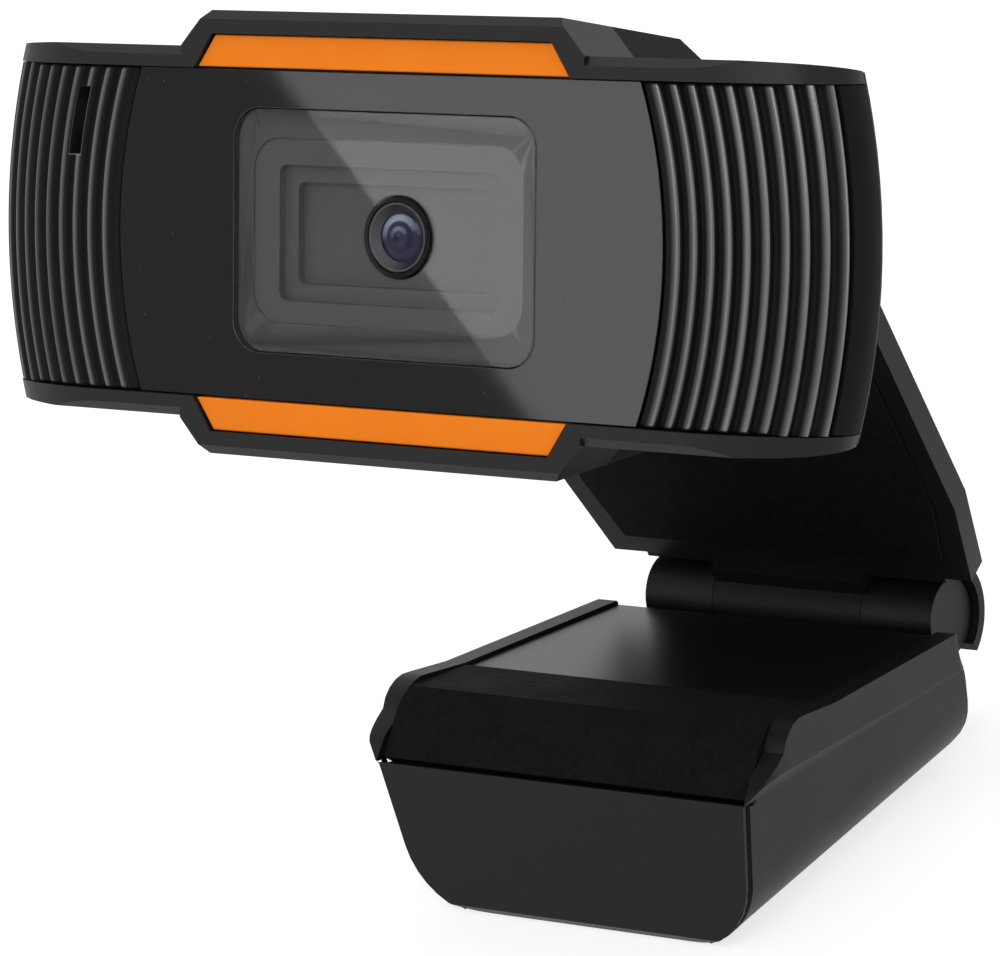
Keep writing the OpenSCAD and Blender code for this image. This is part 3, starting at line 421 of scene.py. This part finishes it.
def turned(profile, centre=(0, 0), steps=96):
    """Surface of a profile turned about an axis along Y: a point (r, y) goes to
    x = centre x + r cos a, z = centre z + r sin a, for a from 0 to a full turn."""
    profile = np.asarray(profile, float)
    a = np.linspace(0, 2 * np.pi, steps, endpoint=False)
    r, y = profile[:, :1], profile[:, 1:]
    return np.stack([centre[0] + r * np.cos(a), y + 0 * a, centre[1] + r * np.sin(a)], -1)


def eased(piece, width, segments=3, angle=30):
    """Rounds a piece's edges that turn by more than the angle."""
    bevel = piece.modifiers.new("eased edges", "BEVEL")
    bevel.width = width
    bevel.segments = segments
    bevel.limit_method = "ANGLE"
    bevel.angle_limit = math.radians(angle)
    bevel.harden_normals = True
    bevel.use_clamp_overlap = True
    return piece


def carried_over(name, node, material, body, width, segments=3, angle=30):
    """A CAD node's solid with its edges rounded: a merged copy, its flat faces joined."""
    mesh = frame["nodes"][node].data.copy()
    mesh.name = name
    mesh.transform(frame["nodes"][node].matrix_world)
    work = bmesh.new()
    work.from_mesh(mesh)
    bmesh.ops.remove_doubles(work, verts=work.verts, dist=3e-6)
    bmesh.ops.dissolve_limit(work, angle_limit=math.radians(0.6), verts=work.verts,
                             edges=work.edges, use_dissolve_boundaries=False)
    bmesh.ops.recalc_face_normals(work, faces=work.faces)
    work.to_mesh(mesh)
    work.free()
    for attribute in [a.name for a in mesh.attributes if a.name.startswith("custom_normal")]:
        mesh.attributes.remove(mesh.attributes[attribute])
    piece = finished(name, mesh, material, body, (node,))
    return eased(piece, width, segments, angle)


def dressed(node, material):
    """Gives a CAD node that stays its finish."""
    mesh = frame["nodes"][node].data
    if not mesh.materials:
        mesh.materials.append(material)
    for index in range(len(mesh.materials)):
        mesh.materials[index] = material


# ---------------------------------------------------------------- cheeks

# The head's sizes that the cheeks fit
HEAD_W, BAND_H, RIM_H = 76.0, 27.3, 1.55
SEAM, SEAM_D, WALL = 0.08, 7.0, 1.5      # gap at a seam, housings' seam behind the rim, wall
ARC_R, PANEL_HALF = 36.6, 24.15          # arc between panel and cheek, its reach at mid height
OPENING = BAND_H / 2 - RIM_H             # half height between the rim bars
ARC_OFF = ARC_R - PANEL_HALF             # way from the head's middle to the arcs' axis

# The line along a cheek: flat, then the curve round CURVE_C, then the bulge round BULGE_C
TRIM_SET, CHEEK_T = 0.35, 1.5
END_SPAN, CURVE_R = 10.05, 17.3
SWEEP, TAPER = math.radians(26.8), math.radians(32)
FLAT = HEAD_W / 2 - END_SPAN
BULGE_R = (END_SPAN - CURVE_R * math.sin(SWEEP)) / (1 - math.sin(SWEEP))
CURVE_C = np.array([ARC_OFF + FLAT, TRIM_SET + CURVE_R])
BULGE_C = CURVE_C + (CURVE_R - BULGE_R) * np.array([math.sin(SWEEP), -math.cos(SWEEP)])
CURVE_START = FLAT - PANEL_HALF
CURVE_LEN = CURVE_START + CURVE_R * SWEEP

# The ribs, and how finely a cheek is divided
FIRST_RIB, RIB_PITCH, RIB_N = 1.6, 1.41, 10
RIB_SHARES = np.linspace(0, 1, 18, endpoint=False)
CREST = 0.80                             # share of a rib's width at which its crest lies
LEAD_TURN = math.radians(2.5)            # from the last groove to the bulge
SEAM_TUCK = 0.02                         # step in where the bulge meets the housings' seam
BULGE_POINTS, INSIDE_POINTS, HEIGHT_POINTS, EASE_POINTS = 22, 8, 41, 5
LEFT_CREST_HIGHLIGHT = 0.75                        # the left crests get less coat and less painted highlight than the right ones: painted shade on the side away from the light
END_EASE, END_CLEAR = 0.25, 0.4          # rounding of a cheek's ends, and the height it takes

# The microphone slot: its rib, width, height and its middle below the opening's top
SLOT_RIB, SLOT_W, SLOT_H, SLOT_DROP = 3, 1.2, 5.1, 4.2
SLOT_POINTS, SLOT_PAST = 15, 1.0


def cheek_line(s, depth):
    """Points (distance from the arcs' axis, depth) at a way s along the cheek: straight,
    then round the curve, then round the bulge, always depth below the surface."""
    s, depth = np.asarray(s, float), np.asarray(depth, float)
    flat = np.stack([ARC_R + s, TRIM_SET + depth], -1)
    a = (s - CURVE_START) / CURVE_R
    curve = CURVE_C + (CURVE_R - depth)[:, None] * np.stack([np.sin(a), -np.cos(a)], -1)
    b = SWEEP + (s - CURVE_LEN) / BULGE_R
    bulge = BULGE_C + (BULGE_R - depth)[:, None] * np.stack([np.sin(b), -np.cos(b)], -1)
    return np.where((s <= CURVE_START)[:, None], flat,
                    np.where((s <= CURVE_LEN)[:, None], curve, bulge))


def rib_depths(floor=0.16, shoulder=0.50):
    """Depth below the crest, from 0 to 1, over a rib's width: a flat floor, a smooth step up
    to the shoulder, a gentle rise to the crest and a quick round fall."""
    step = np.clip((RIB_SHARES - floor) / (shoulder - floor), 0, 1)
    step = step * step * (3 - 2 * step)
    rise = 0.14 * np.clip((CREST - RIB_SHARES) / (CREST - shoulder), 0, 1)
    fall = np.clip((RIB_SHARES - CREST) / (1 - CREST), 0, 1) ** 2.2
    return np.clip(1 - step * (1 - rise) + fall, 0, 1)


def rib_dullness_and_shade(foot=0.06, slope_w=0.14, waist=0.42):
    """Dullness and painted shade over a rib's width: 1 on the groove's floor, a little less on the
    slope, 0 along the crest's edge, where a painted highlight lies, and a quick rise behind it."""
    slope = 0.30 * np.clip((RIB_SHARES - foot) / slope_w, 0, 1)
    rise = 0.70 * np.clip((RIB_SHARES - waist) / (CREST - waist), 0, 1) ** 1.5
    behind = np.clip((1 - RIB_SHARES) / (1 - CREST), 0, 1)
    return 1 - (slope + rise) * behind


def cheek_profile(rib_depth):
    """Closed outline of a cheek, round from its inner edge over the ribs and the bulge to the
    seam, and back along its inside."""
    starts = np.concatenate([[SEAM], FIRST_RIB + RIB_PITCH * np.arange(RIB_N - 1)])
    widths = np.concatenate([[FIRST_RIB - SEAM], np.full(RIB_N - 1, RIB_PITCH)])
    s = (starts[:, None] + widths[:, None] * RIB_SHARES).ravel()
    ribs = cheek_line(s, np.tile(rib_depths() * rib_depth, RIB_N))
    end_s = FIRST_RIB + RIB_PITCH * (RIB_N - 1)
    lead = cheek_line([end_s], [rib_depth])
    start = SWEEP + max(0.0, end_s - CURVE_LEN) / BULGE_R + LEAD_TURN
    b = np.linspace(start, math.pi / 2 + TAPER, BULGE_POINTS)
    bulge = BULGE_C + BULGE_R * np.stack([np.sin(b), -np.cos(b)], -1)
    bulge = bulge[bulge[:, 1] < SEAM_D - SEAM]
    leg = BULGE_C[0] + BULGE_R - WALL
    seam = np.array([[bulge[-1, 0] - SEAM_TUCK, SEAM_D - SEAM], [leg, SEAM_D - SEAM]])
    inner_r = CURVE_R - CHEEK_T
    a = np.linspace(math.asin((leg - CURVE_C[0]) / inner_r), 0, INSIDE_POINTS)
    inside = CURVE_C + inner_r * np.stack([np.sin(a), -np.cos(a)], -1)
    foot = np.array([[ARC_R + SEAM, TRIM_SET + CHEEK_T]])
    return np.concatenate([ribs, lead, bulge, seam, inside, foot])


def cheek_mesh(name, side, rib_depth):
    """The outline carried up the height z: x = sqrt(R squared - z squared) - axis distance,
    and the depth stays. Near both ends the outline sinks a little, as a rounded edge."""
    profile = cheek_profile(rib_depth)
    half = OPENING - SEAM
    ease = np.linspace(0, math.pi / 2, EASE_POINTS)
    z_top = half - END_EASE * (1 - np.sin(ease))
    sink_top = END_EASE * (1 - np.cos(ease))
    z_mid = np.linspace(-half + END_CLEAR, half - END_CLEAR, HEIGHT_POINTS)
    z = np.concatenate([-z_top[::-1], z_mid, z_top])
    sink = np.concatenate([sink_top[::-1], np.zeros(HEIGHT_POINTS), sink_top])
    front = ((profile[:, 1] < TRIM_SET + CHEEK_T * 0.9)
             | (profile[:, 0] > BULGE_C[0] + BULGE_R - 0.5))
    r = profile[None, :, 0] + 0 * z[:, None]
    y = profile[None, :, 1] + np.where(front, 1.0, 0.0)[None, :] * sink[:, None]
    x = side * (np.sqrt(r ** 2 - z[:, None] ** 2) - ARC_OFF)
    grid = np.stack([x, y, z[:, None] + 0 * r], -1)
    rows, cols = grid.shape[:2]
    # Per point: dullness and painted shade in the grooves, a painted highlight on the crests
    ribs = np.tile(rib_dullness_and_shade(), RIB_N)
    dull_and_shaded = np.full(cols, 1.0)
    # Painted shade on the left cheek: its crests keep only part of the painted highlight
    dull_and_shaded[:len(ribs)] = 1 - (1 - ribs) * (1.0 if side > 0 else LEFT_CREST_HIGHLIGHT)
    return swept(name, HEAD, [grid], [(GROOVE_SHADE, np.tile(dull_and_shaded, rows))])


def slot_cutter():
    """Curved bar for the slot through the left cheek: its four long edges go up the height z
    at x = axis distance - sqrt(r squared - z squared), half the slot's width inside and
    outside the middle of its rib."""
    mid = ARC_R + FIRST_RIB + (SLOT_RIB - 1) * RIB_PITCH
    z0 = OPENING - SLOT_DROP
    z = np.linspace(z0 - SLOT_H / 2, z0 + SLOT_H / 2, SLOT_POINTS)
    back = TRIM_SET + CHEEK_T + SLOT_PAST
    ring_y = np.array([-SLOT_PAST, -SLOT_PAST, back, back])
    ring_r = mid + SLOT_W / 2 * np.array([-1, 1, 1, -1])
    x = -(np.sqrt(ring_r[None, :] ** 2 - z[:, None] ** 2) - ARC_OFF)
    grid = np.stack([x, ring_y[None, :] + 0 * x, z[:, None] + 0 * x], -1)
    return swept("slot cutter", HEAD, [grid])


# ---------------------------------------------------------------- lens and the foot's painted shadow line

# The front lens: radius, depth of its front edge, thickness there, rise of its dome, and the
# height of its axis above the head's middle
GLASS_R, GLASS_Y, GLASS_T, GLASS_RISE, LENS_RISE = 1.95, 3.2, 0.95, 0.4, 0.2
POLE = 0.004                 # share of the radius at which a cap closes the dome and the back
# Turn about the lens axis at which the painted highlight is strongest, and its least share
HIGHLIGHT_TURN, HIGHLIGHT_LEAST = math.radians(105), 0.04

# The pane's spot without gloss before the lens: its centre in the head and its radius
SPOT, SPOT_R = (1.45, 0.7, 0.35), 3.05


def lens_mesh(name, rings=28, steps=96):
    """Domed glass turned about the lens axis: y = glass_y - rise (1 - (r / R) squared) over the
    dome, then the edge and the flat back. The radius attribute holds r / R, and the second
    attribute, a painted highlight on one side of the lens, holds least + (1 - least) cos(a - turn),
    where the cosine is above 0."""
    share = np.linspace(POLE, 1, rings)
    dome = np.stack([GLASS_R * share, GLASS_Y - GLASS_RISE * (1 - share ** 2)], -1)
    back = np.array([[GLASS_R, GLASS_Y + GLASS_T], [GLASS_R * POLE, GLASS_Y + GLASS_T]])
    profile = np.concatenate([dome, back])
    a = np.linspace(0, 2 * np.pi, steps, endpoint=False)
    sheen = HIGHLIGHT_LEAST + (1 - HIGHLIGHT_LEAST) * np.clip(np.cos(a - HIGHLIGHT_TURN), 0, 1)
    return swept(name, HEAD, [turned(profile, (0, LENS_RISE), steps)],
                 [(RADIUS, np.repeat(profile[:, 0] / GLASS_R, steps)),
                  (LENS_HIGHLIGHT, np.tile(sheen, len(profile)))])


# The foot's front: half width at the lower side, corner radius, the side's lean, the chin
FOOT_LOW, FOOT_CORNER, SIDE_LEAN, CHIN_H = 15.85, 6.5, math.radians(8), 12.9
# The painted shadow line in the groove behind the front: its start behind the front, its width,
# how far it stands out and in, and its reach past the chin
SHADE_LINE_FROM, SHADE_LINE_W, SHADE_LINE_LIFT, SHADE_LINE_SINK, SHADE_LINE_PAST = 0.4, 0.55, 0.035, 0.1, 0.1
# Its arc's start under the foot, the points of the arc and of the side, the side's first step
SHADE_LINE_TURN, ARC_POINTS, SIDE_POINTS, FIRST_STEP = math.radians(-72), 15, 6, 0.17


def corner_shadow_line(name):
    """Black strips of painted shade where the groove behind the foot's front face lies in shadow:
    on each side the section's outline, an arc of radius r that ends at the side's lean and then the
    lean up to the chin, carried along the four corners of a flat bar."""
    centre = np.array([FOOT_LOW - FOOT_CORNER, FOOT_CORNER])
    a = np.linspace(SHADE_LINE_TURN, -SIDE_LEAN, ARC_POINTS)
    out = np.stack([np.cos(a), np.sin(a)], -1)
    up = np.array([math.sin(SIDE_LEAN), math.cos(SIDE_LEAN)])
    length = (CHIN_H + SHADE_LINE_PAST - centre[1] - FOOT_CORNER * out[-1, 1]) / up[1]
    steps = np.linspace(FIRST_STEP, 1, SIDE_POINTS)[:, None] * length * up
    line = centre + FOOT_CORNER * out
    line = np.concatenate([line, line[-1] + steps])
    out = np.concatenate([out, np.tile(out[-1], (SIDE_POINTS, 1))])
    lift = np.array([SHADE_LINE_LIFT, SHADE_LINE_LIFT, -SHADE_LINE_SINK, -SHADE_LINE_SINK])
    y = np.array([SHADE_LINE_FROM, SHADE_LINE_FROM + SHADE_LINE_W, SHADE_LINE_FROM + SHADE_LINE_W, SHADE_LINE_FROM])
    xz = line[:, None, :] + lift[None, :, None] * out[:, None, :]
    grid = np.stack([xz[..., 0], y[None, :] + 0 * xz[..., 0], xz[..., 1]], -1)
    return swept(name, FOOT, [grid, grid * np.array([-1, 1, 1])])


# ---------------------------------------------------------------- operators

PIECES = []


def step(maker):
    """Keeps the operators in the order in which they run."""
    PIECES.append(maker)
    return maker


class Maker:
    """What the webcam's operators share"""
    bl_options = {"REGISTER", "UNDO"}

    def execute(self, context):
        self.make(context.scene.webcam_sizes, context.scene.webcam_colours)
        return {"FINISHED"}


@step
class WEBCAM_OT_housings(Maker, bpy.types.Operator):
    """Front frame, rear housing and the boss cap behind the head"""
    bl_idname = "webcam.housings"
    bl_label = "Housings"

    def make(self, sizes, colours):
        satin = moulded("housing satin black", tuple(colours.shell), rough=0.40, gloss=0.20)
        carried_over("rim_frame", "front_frame", satin, "head",
                     sizes.shell_ease)
        # Painted shade on the head's top and back: the rear housing and the boss cap take the
        # shell's black darkened to 0.7
        dull_and_shaded = moulded("rear housing shaded black", times(tuple(colours.shell), 0.7), rough=0.6,
                       gloss=0.07)
        carried_over("back_housing", "rear_housing", dull_and_shaded, "head",
                     sizes.shell_ease)
        carried_over("swivel_cap", "boss_cap", dull_and_shaded, "head", 0.15 * MM)


@step
class WEBCAM_OT_cheeks(Maker, bpy.types.Operator):
    """Ribbed cheeks at both ends of the head, with the microphone slot"""
    bl_idname = "webcam.cheeks"
    bl_label = "Cheeks"

    def make(self, sizes, colours):
        ribbed = ribbed_plastic("cheek satin black", tuple(colours.cheek))
        for side, node in ((1, "cheek_right"), (-1, "cheek_left")):
            mesh = cheek_mesh("ribbed_" + node, side, sizes.rib_depth / MM)
            piece = finished("ribbed_" + node, mesh, ribbed, "head", (node,),
                             crease=50)
            if side < 0:
                cutter = bpy.data.objects.new("slot cutter", slot_cutter())
                bpy.context.scene.collection.objects.link(cutter)
                cut = piece.modifiers.new("slot", "BOOLEAN")
                cut.object, cut.operation, cut.solver = cutter, "DIFFERENCE", "EXACT"
                bpy.context.view_layer.update()
                graph = bpy.context.evaluated_depsgraph_get()
                done = bpy.data.meshes.new_from_object(piece.evaluated_get(graph))
                piece.modifiers.clear()
                piece.data = done
                bpy.data.objects.remove(cutter)


@step
class WEBCAM_OT_face(Maker, bpy.types.Operator):
    """Face panel, clear window and the stepped surround behind it"""
    bl_idname = "webcam.face"
    bl_label = "Face"

    def make(self, sizes, colours):
        carried_over("gloss_face", "face_panel", polished("panel polish", tuple(colours.panel)),
                     "head", sizes.panel_ease, 2)
        clear = clear_window("window clear", HEAD.at(*SPOT), SPOT_R)
        pane = carried_over("clear_window", "window_pane", clear, "head",
                            0.04 * MM, 2)
        pane.visible_shadow = False
        carried_over("lens_surround", "lens_shroud",
                     moulded("surround grey", tuple(colours.shroud), grain_mm=0.05,
                             grain_depth=0.0004, rough=0.55, gloss=0.12, lint=0.1),
                     "head", 0.12 * MM)


@step
class WEBCAM_OT_trims(Maker, bpy.types.Operator):
    """Orange strips above and below the face panel"""
    bl_idname = "webcam.trims"
    bl_label = "Trim strips"

    def make(self, sizes, colours):
        paint = trim_paint("trim orange", tuple(colours.trim))
        for node in ("trim_top", "trim_bottom"):
            carried_over("strip_" + node, node, paint, "head", sizes.trim_ease)


@step
class WEBCAM_OT_lens(Maker, bpy.types.Operator):
    """Lens barrel, retaining ring and coated front glass"""
    bl_idname = "webcam.lens"
    bl_label = "Lens"

    def make(self, sizes, colours):
        black = moulded("barrel black", (0.002, 0.002, 0.0022), grain_mm=0.08, rough=0.5,
                        gloss=0.08)
        carried_over("lens_tube", "lens_barrel", black, "head", 0.08 * MM)
        grey = turned_metal("ring grey", (0.055, 0.055, 0.058), 0.35)
        carried_over("retaining_ring", "lens_ring", grey, "head", 0.03 * MM)
        glass = finished("domed_glass", lens_mesh("domed_glass"),
                         coated_glass("lens coating", RADIUS), "head",
                         ("front_lens",), crease=60)
        glass.visible_shadow = False
        dressed("rear_lens", coated_glass("rear lens coating"))


@step
class WEBCAM_OT_insides(Maker, bpy.types.Operator):
    """Finishes of the pieces inside the head and of the small metal parts"""
    bl_idname = "webcam.insides"
    bl_label = "Inner pieces and screws"

    def make(self, sizes, colours):
        steel = turned_metal("screw steel", (0.45, 0.45, 0.46))
        for node in ("board_screws", "housing_screws", "swivel_screw", "swivel_washer",
                     "tilt_washers", "foot_screws"):
            dressed(node, steel)
        dressed("tilt_pin", turned_metal("pin steel", (0.4, 0.4, 0.41)))
        dressed("hinge_pin", turned_metal("hinge pin steel", (0.4, 0.4, 0.41)))
        dressed("microphone", turned_metal("microphone can", (0.5, 0.5, 0.5)))
        rubber = soft_rubber("boot rubber", tuple(colours.rubber), 0.3, 0.03)
        dressed("mic_boot", rubber)
        dressed("cable_gland", rubber)
        dressed("circuit_board", laminate("board laminate"))
        chip = moulded("chip black", (0.012, 0.012, 0.013), rough=0.5)
        for node in ("controller_chip", "image_sensor", "lens_holder"):
            dressed(node, chip)
        dressed("board_socket", moulded("socket nylon", (0.75, 0.72, 0.62), rough=0.4))
        dressed("ir_filter", coated_glass("filter coating"))


@step
class WEBCAM_OT_clip(Maker, bpy.types.Operator):
    """Neck, clip leaf and its soft pad"""
    bl_idname = "webcam.clip"
    bl_label = "Neck and clip leaf"

    def make(self, sizes, colours):
        black = moulded("clip black", tuple(colours.clip), rough=0.42, gloss=0.12)
        carried_over("swivel_neck", "neck", black, "neck", 0.25 * MM)
        carried_over("clip_leaf", "clip_arm", black, "leaf", sizes.clip_ease)
        carried_over("leaf_pad", "arm_pad",
                     soft_rubber("leaf pad rubber", times(tuple(colours.rubber), 1.2), 0.6, 0.02),
                     "leaf", 0.12 * MM)


@step
class WEBCAM_OT_foot(Maker, bpy.types.Operator):
    """Foot shell, its glossy cover and the soft pad on its brow"""
    bl_idname = "webcam.foot"
    bl_label = "Foot"

    def make(self, sizes, colours):
        carried_over("foot_body", "foot_shell",
                     moulded("foot satin black", tuple(colours.foot), rough=0.46, gloss=0.20),
                     "foot", sizes.foot_ease, 4, 24)
        carried_over("gloss_top", "foot_cover",
                     polished("cover polish", tuple(colours.panel), 0.30, 0.3),
                     "foot", 0.1 * MM)
        carried_over("brow_pad", "grip_pad", soft_rubber("pad rubber", tuple(colours.rubber)),
                     "foot", 0.3 * MM, 3, 20)
        # Painted shade: a black strip in the groove behind the foot's front face
        finished("painted_shadow_line", corner_shadow_line("painted_shadow_line"),
                 soft_rubber("parting shadow", (0.0008, 0.0008, 0.0008), 0.3, 0.01),
                 "foot")


# ---------------------------------------------------------------- studio

# The camera: its place from the head's origin in metres, its turn about the upright, its tilt
# up from looking straight down, its roll about the line of sight, and its lens
VIEW_FROM = (0.21945, -0.27864, 0.11700)
VIEW_TURN, VIEW_TILT, VIEW_ROLL = math.radians(37.309), math.radians(68.933), math.radians(-10.564)
SENSOR_MM, FOCAL_MM = 36.0, 187.2
VIEW_NEAR, VIEW_FAR = 0.01, 20

FLOOR_HALF = 6.0         # half the floor's width in metres
FLOOR_RAISE = 0.73       # light that lifts the floor to white before the camera
WORLD_LEVEL = 0.55       # strength of the surroundings as they light the object

# Soft lights: name, place, the point they face, width (all in metres) and power in watts
LAMPS = (("key", (0.3, -1.2, 1.0), (0, 0, 0.04), 0.9, 8.5),
         ("side", (1.3, -0.3, 0.25), (0, 0, 0.01), 0.5, 1.8),
         ("top", (-0.3, 0.1, 1.6), (0, 0, 0.04), 0.9, 5))

# Cards in the face panel's mirror image: corners on the panel (x, z) in millimetres, the
# distance as a share of the camera's, and the light they give
PANEL_SET = 0.7          # depth of the panel's face behind the rim
DARK_EDGE = ((-12.0, 14.6), (14.4, -13.3))
DARK_AWAY = ((-60.0, -40.0), (-110.0, 20.0))
DARK_REACH, DARK_LEVEL = 2.6, 0.36
BRIGHT_CORNERS = ((-60, -60), (70, -60), (70, 60), (-60, 60))
BRIGHT_REACH, BRIGHT_LEVEL = 3.0, 2.25


def quad(name, corners, material):
    """Flat stage board through four corners in metres."""
    mesh = bpy.data.meshes.new(name)
    mesh.from_pydata([tuple(c) for c in corners], [], [(0, 1, 2, 3)])
    mesh.materials.append(material)
    board = bpy.data.objects.new(name, mesh)
    bpy.context.scene.collection.objects.link(board)
    return board


def glow(name, level):
    """Plain light-giving card."""
    f = Finish(name)
    f.end(f.node("ShaderNodeEmission", None, {"Color": (level, level, level, 1), "Strength": 1.0}))
    return f.material


def floor_paper():
    """White paper that keeps the object's shadow: it is lit as it is, and only the camera and
    mirror rays see it raised to white."""
    f = Finish("floor paper")
    fibre = f.noise(2.0, 3.0)
    tone = f.blend(fibre, (0.44, 0.44, 0.44), (0.46, 0.46, 0.46))
    lit = f.node("ShaderNodeBsdfDiffuse", None, {"Color": tone})
    path = f.node("ShaderNodeLightPath", out="Is Camera Ray")
    mirror = f.node("ShaderNodeLightPath", out="Is Glossy Ray")
    raised = f.node("ShaderNodeEmission", None, {"Color": (1, 1, 1, 1), "Strength": FLOOR_RAISE})
    both = f.node("ShaderNodeAddShader", None, {0: lit, 1: raised})
    seen = f.node("ShaderNodeMath", {"operation": "MAXIMUM"}, {0: path, 1: mirror})
    f.end(f.node("ShaderNodeMixShader", None, {0: seen, 1: lit, 2: both}))
    return f.material


def studio_world():
    """Even white surroundings: plain light on the object, white to the camera and in mirrors."""
    world = bpy.data.worlds.new("studio")
    world.use_nodes = True
    nodes, links = world.node_tree.nodes, world.node_tree.links
    nodes.clear()
    path = nodes.new("ShaderNodeLightPath")
    seen = nodes.new("ShaderNodeMath")
    seen.operation = "MAXIMUM"
    links.new(path.outputs["Is Camera Ray"], seen.inputs[0])
    links.new(path.outputs["Is Glossy Ray"], seen.inputs[1])
    more = nodes.new("ShaderNodeMath")
    more.operation = "MAXIMUM"
    links.new(seen.outputs[0], more.inputs[0])
    links.new(path.outputs["Is Transmission Ray"], more.inputs[1])
    level = nodes.new("ShaderNodeMath")
    level.operation = "MULTIPLY_ADD"
    links.new(more.outputs[0], level.inputs[0])
    level.inputs[1].default_value = 1 - WORLD_LEVEL
    level.inputs[2].default_value = WORLD_LEVEL
    back = nodes.new("ShaderNodeBackground")
    back.inputs["Color"].default_value = (1, 1, 1, 1)
    links.new(level.outputs[0], back.inputs["Strength"])
    out = nodes.new("ShaderNodeOutputWorld")
    links.new(back.outputs[0], out.inputs["Surface"])
    bpy.context.scene.world = world


def soft_box(name, place, aim, width, power):
    """Square area lamp at a place, facing a point."""
    lamp = bpy.data.lights.new(name, "AREA")
    lamp.shape, lamp.size, lamp.energy = "SQUARE", width, power
    holder = bpy.data.objects.new(name, lamp)
    bpy.context.scene.collection.objects.link(holder)
    holder.location = place
    holder.rotation_euler = (Vector(aim) - Vector(place)).to_track_quat("-Z", "Y").to_euler()


def mirrored_point(x, z, reach):
    """Where the line from the camera's mirror image through the point (x, z) of the panel ends
    up, at reach times its length: a card there shows its edge at that point."""
    eye = HEAD.axes.T @ np.array(VIEW_FROM) / MM
    behind = np.array([eye[0], 2 * PANEL_SET - eye[1], eye[2]])
    return HEAD.put(behind + (np.array([x, PANEL_SET, z]) - behind) * reach)


@step
class WEBCAM_OT_stage(Maker, bpy.types.Operator):
    """Floor, soft lights, reflected cards and the camera"""
    bl_idname = "webcam.stage"
    bl_label = "Studio"

    def make(self, sizes, colours):
        scene = bpy.context.scene
        quad("floor", [(x * FLOOR_HALF, y * FLOOR_HALF, 0) for x, y in
                       ((-1, -1), (1, -1), (1, 1), (-1, 1))], floor_paper())
        studio_world()
        for lamp in LAMPS:
            soft_box(*lamp)
        self.cards()
        self.camera(scene)
        scene.view_settings.view_transform = "Standard"

    @staticmethod
    def cards():
        """A dark card whose edge crosses the face panel's mirror image, before a bright one."""
        dark = quad("dark_card", [mirrored_point(x, z, DARK_REACH)
                                  for x, z in DARK_EDGE + DARK_AWAY],
                    glow("dark card", DARK_LEVEL))
        bright = quad("bright_card", [mirrored_point(x, z, BRIGHT_REACH)
                                      for x, z in BRIGHT_CORNERS],
                      glow("bright card", BRIGHT_LEVEL))
        for card in (dark, bright):
            card.visible_camera = card.visible_diffuse = card.visible_shadow = False
            card.visible_volume_scatter = False

    @staticmethod
    def camera(scene):
        """A long lens in front of the head, a little above it and to its left."""
        lens = bpy.data.cameras.new("camera")
        lens.sensor_width, lens.lens = SENSOR_MM, FOCAL_MM
        lens.clip_start, lens.clip_end = VIEW_NEAR, VIEW_FAR
        holder = bpy.data.objects.new("camera", lens)
        scene.collection.objects.link(holder)
        place = Matrix.Translation(Vector(HEAD.origin + np.array(VIEW_FROM)))
        turn = Matrix.Rotation(VIEW_TURN, 4, "Z") @ Matrix.Rotation(VIEW_TILT, 4, "X")
        holder.matrix_world = place @ turn @ Matrix.Rotation(VIEW_ROLL, 4, "Z")
        scene.camera = holder


class WEBCAM_PT_pieces(bpy.types.Panel):
    """The webcam's sizes, colours and pieces"""
    bl_idname = "WEBCAM_PT_pieces"
    bl_label = "Webcam"
    bl_space_type = "VIEW_3D"
    bl_region_type = "UI"
    bl_category = "Webcam"

    def draw(self, context):
        for group in (context.scene.webcam_sizes, context.scene.webcam_colours):
            box = self.layout.box()
            for name in group.__annotations__:
                box.prop(group, name)
        for maker in PIECES:
            self.layout.operator(maker.bl_idname)


CLASSES = [WebcamSizes, WebcamColours, *PIECES, WEBCAM_PT_pieces]


def register():
    for cls in CLASSES:
        bpy.utils.register_class(cls)
    bpy.types.Scene.webcam_sizes = bpy.props.PointerProperty(type=WebcamSizes)
    bpy.types.Scene.webcam_colours = bpy.props.PointerProperty(type=WebcamColours)


def unregister():
    del bpy.types.Scene.webcam_colours
    del bpy.types.Scene.webcam_sizes
    for cls in reversed(CLASSES):
        bpy.utils.unregister_class(cls)


def main():
    register()
    for maker in PIECES:
        group, name = maker.bl_idname.split(".")
        getattr(getattr(bpy.ops, group), name)()


if __name__ == "__main__":
    main()
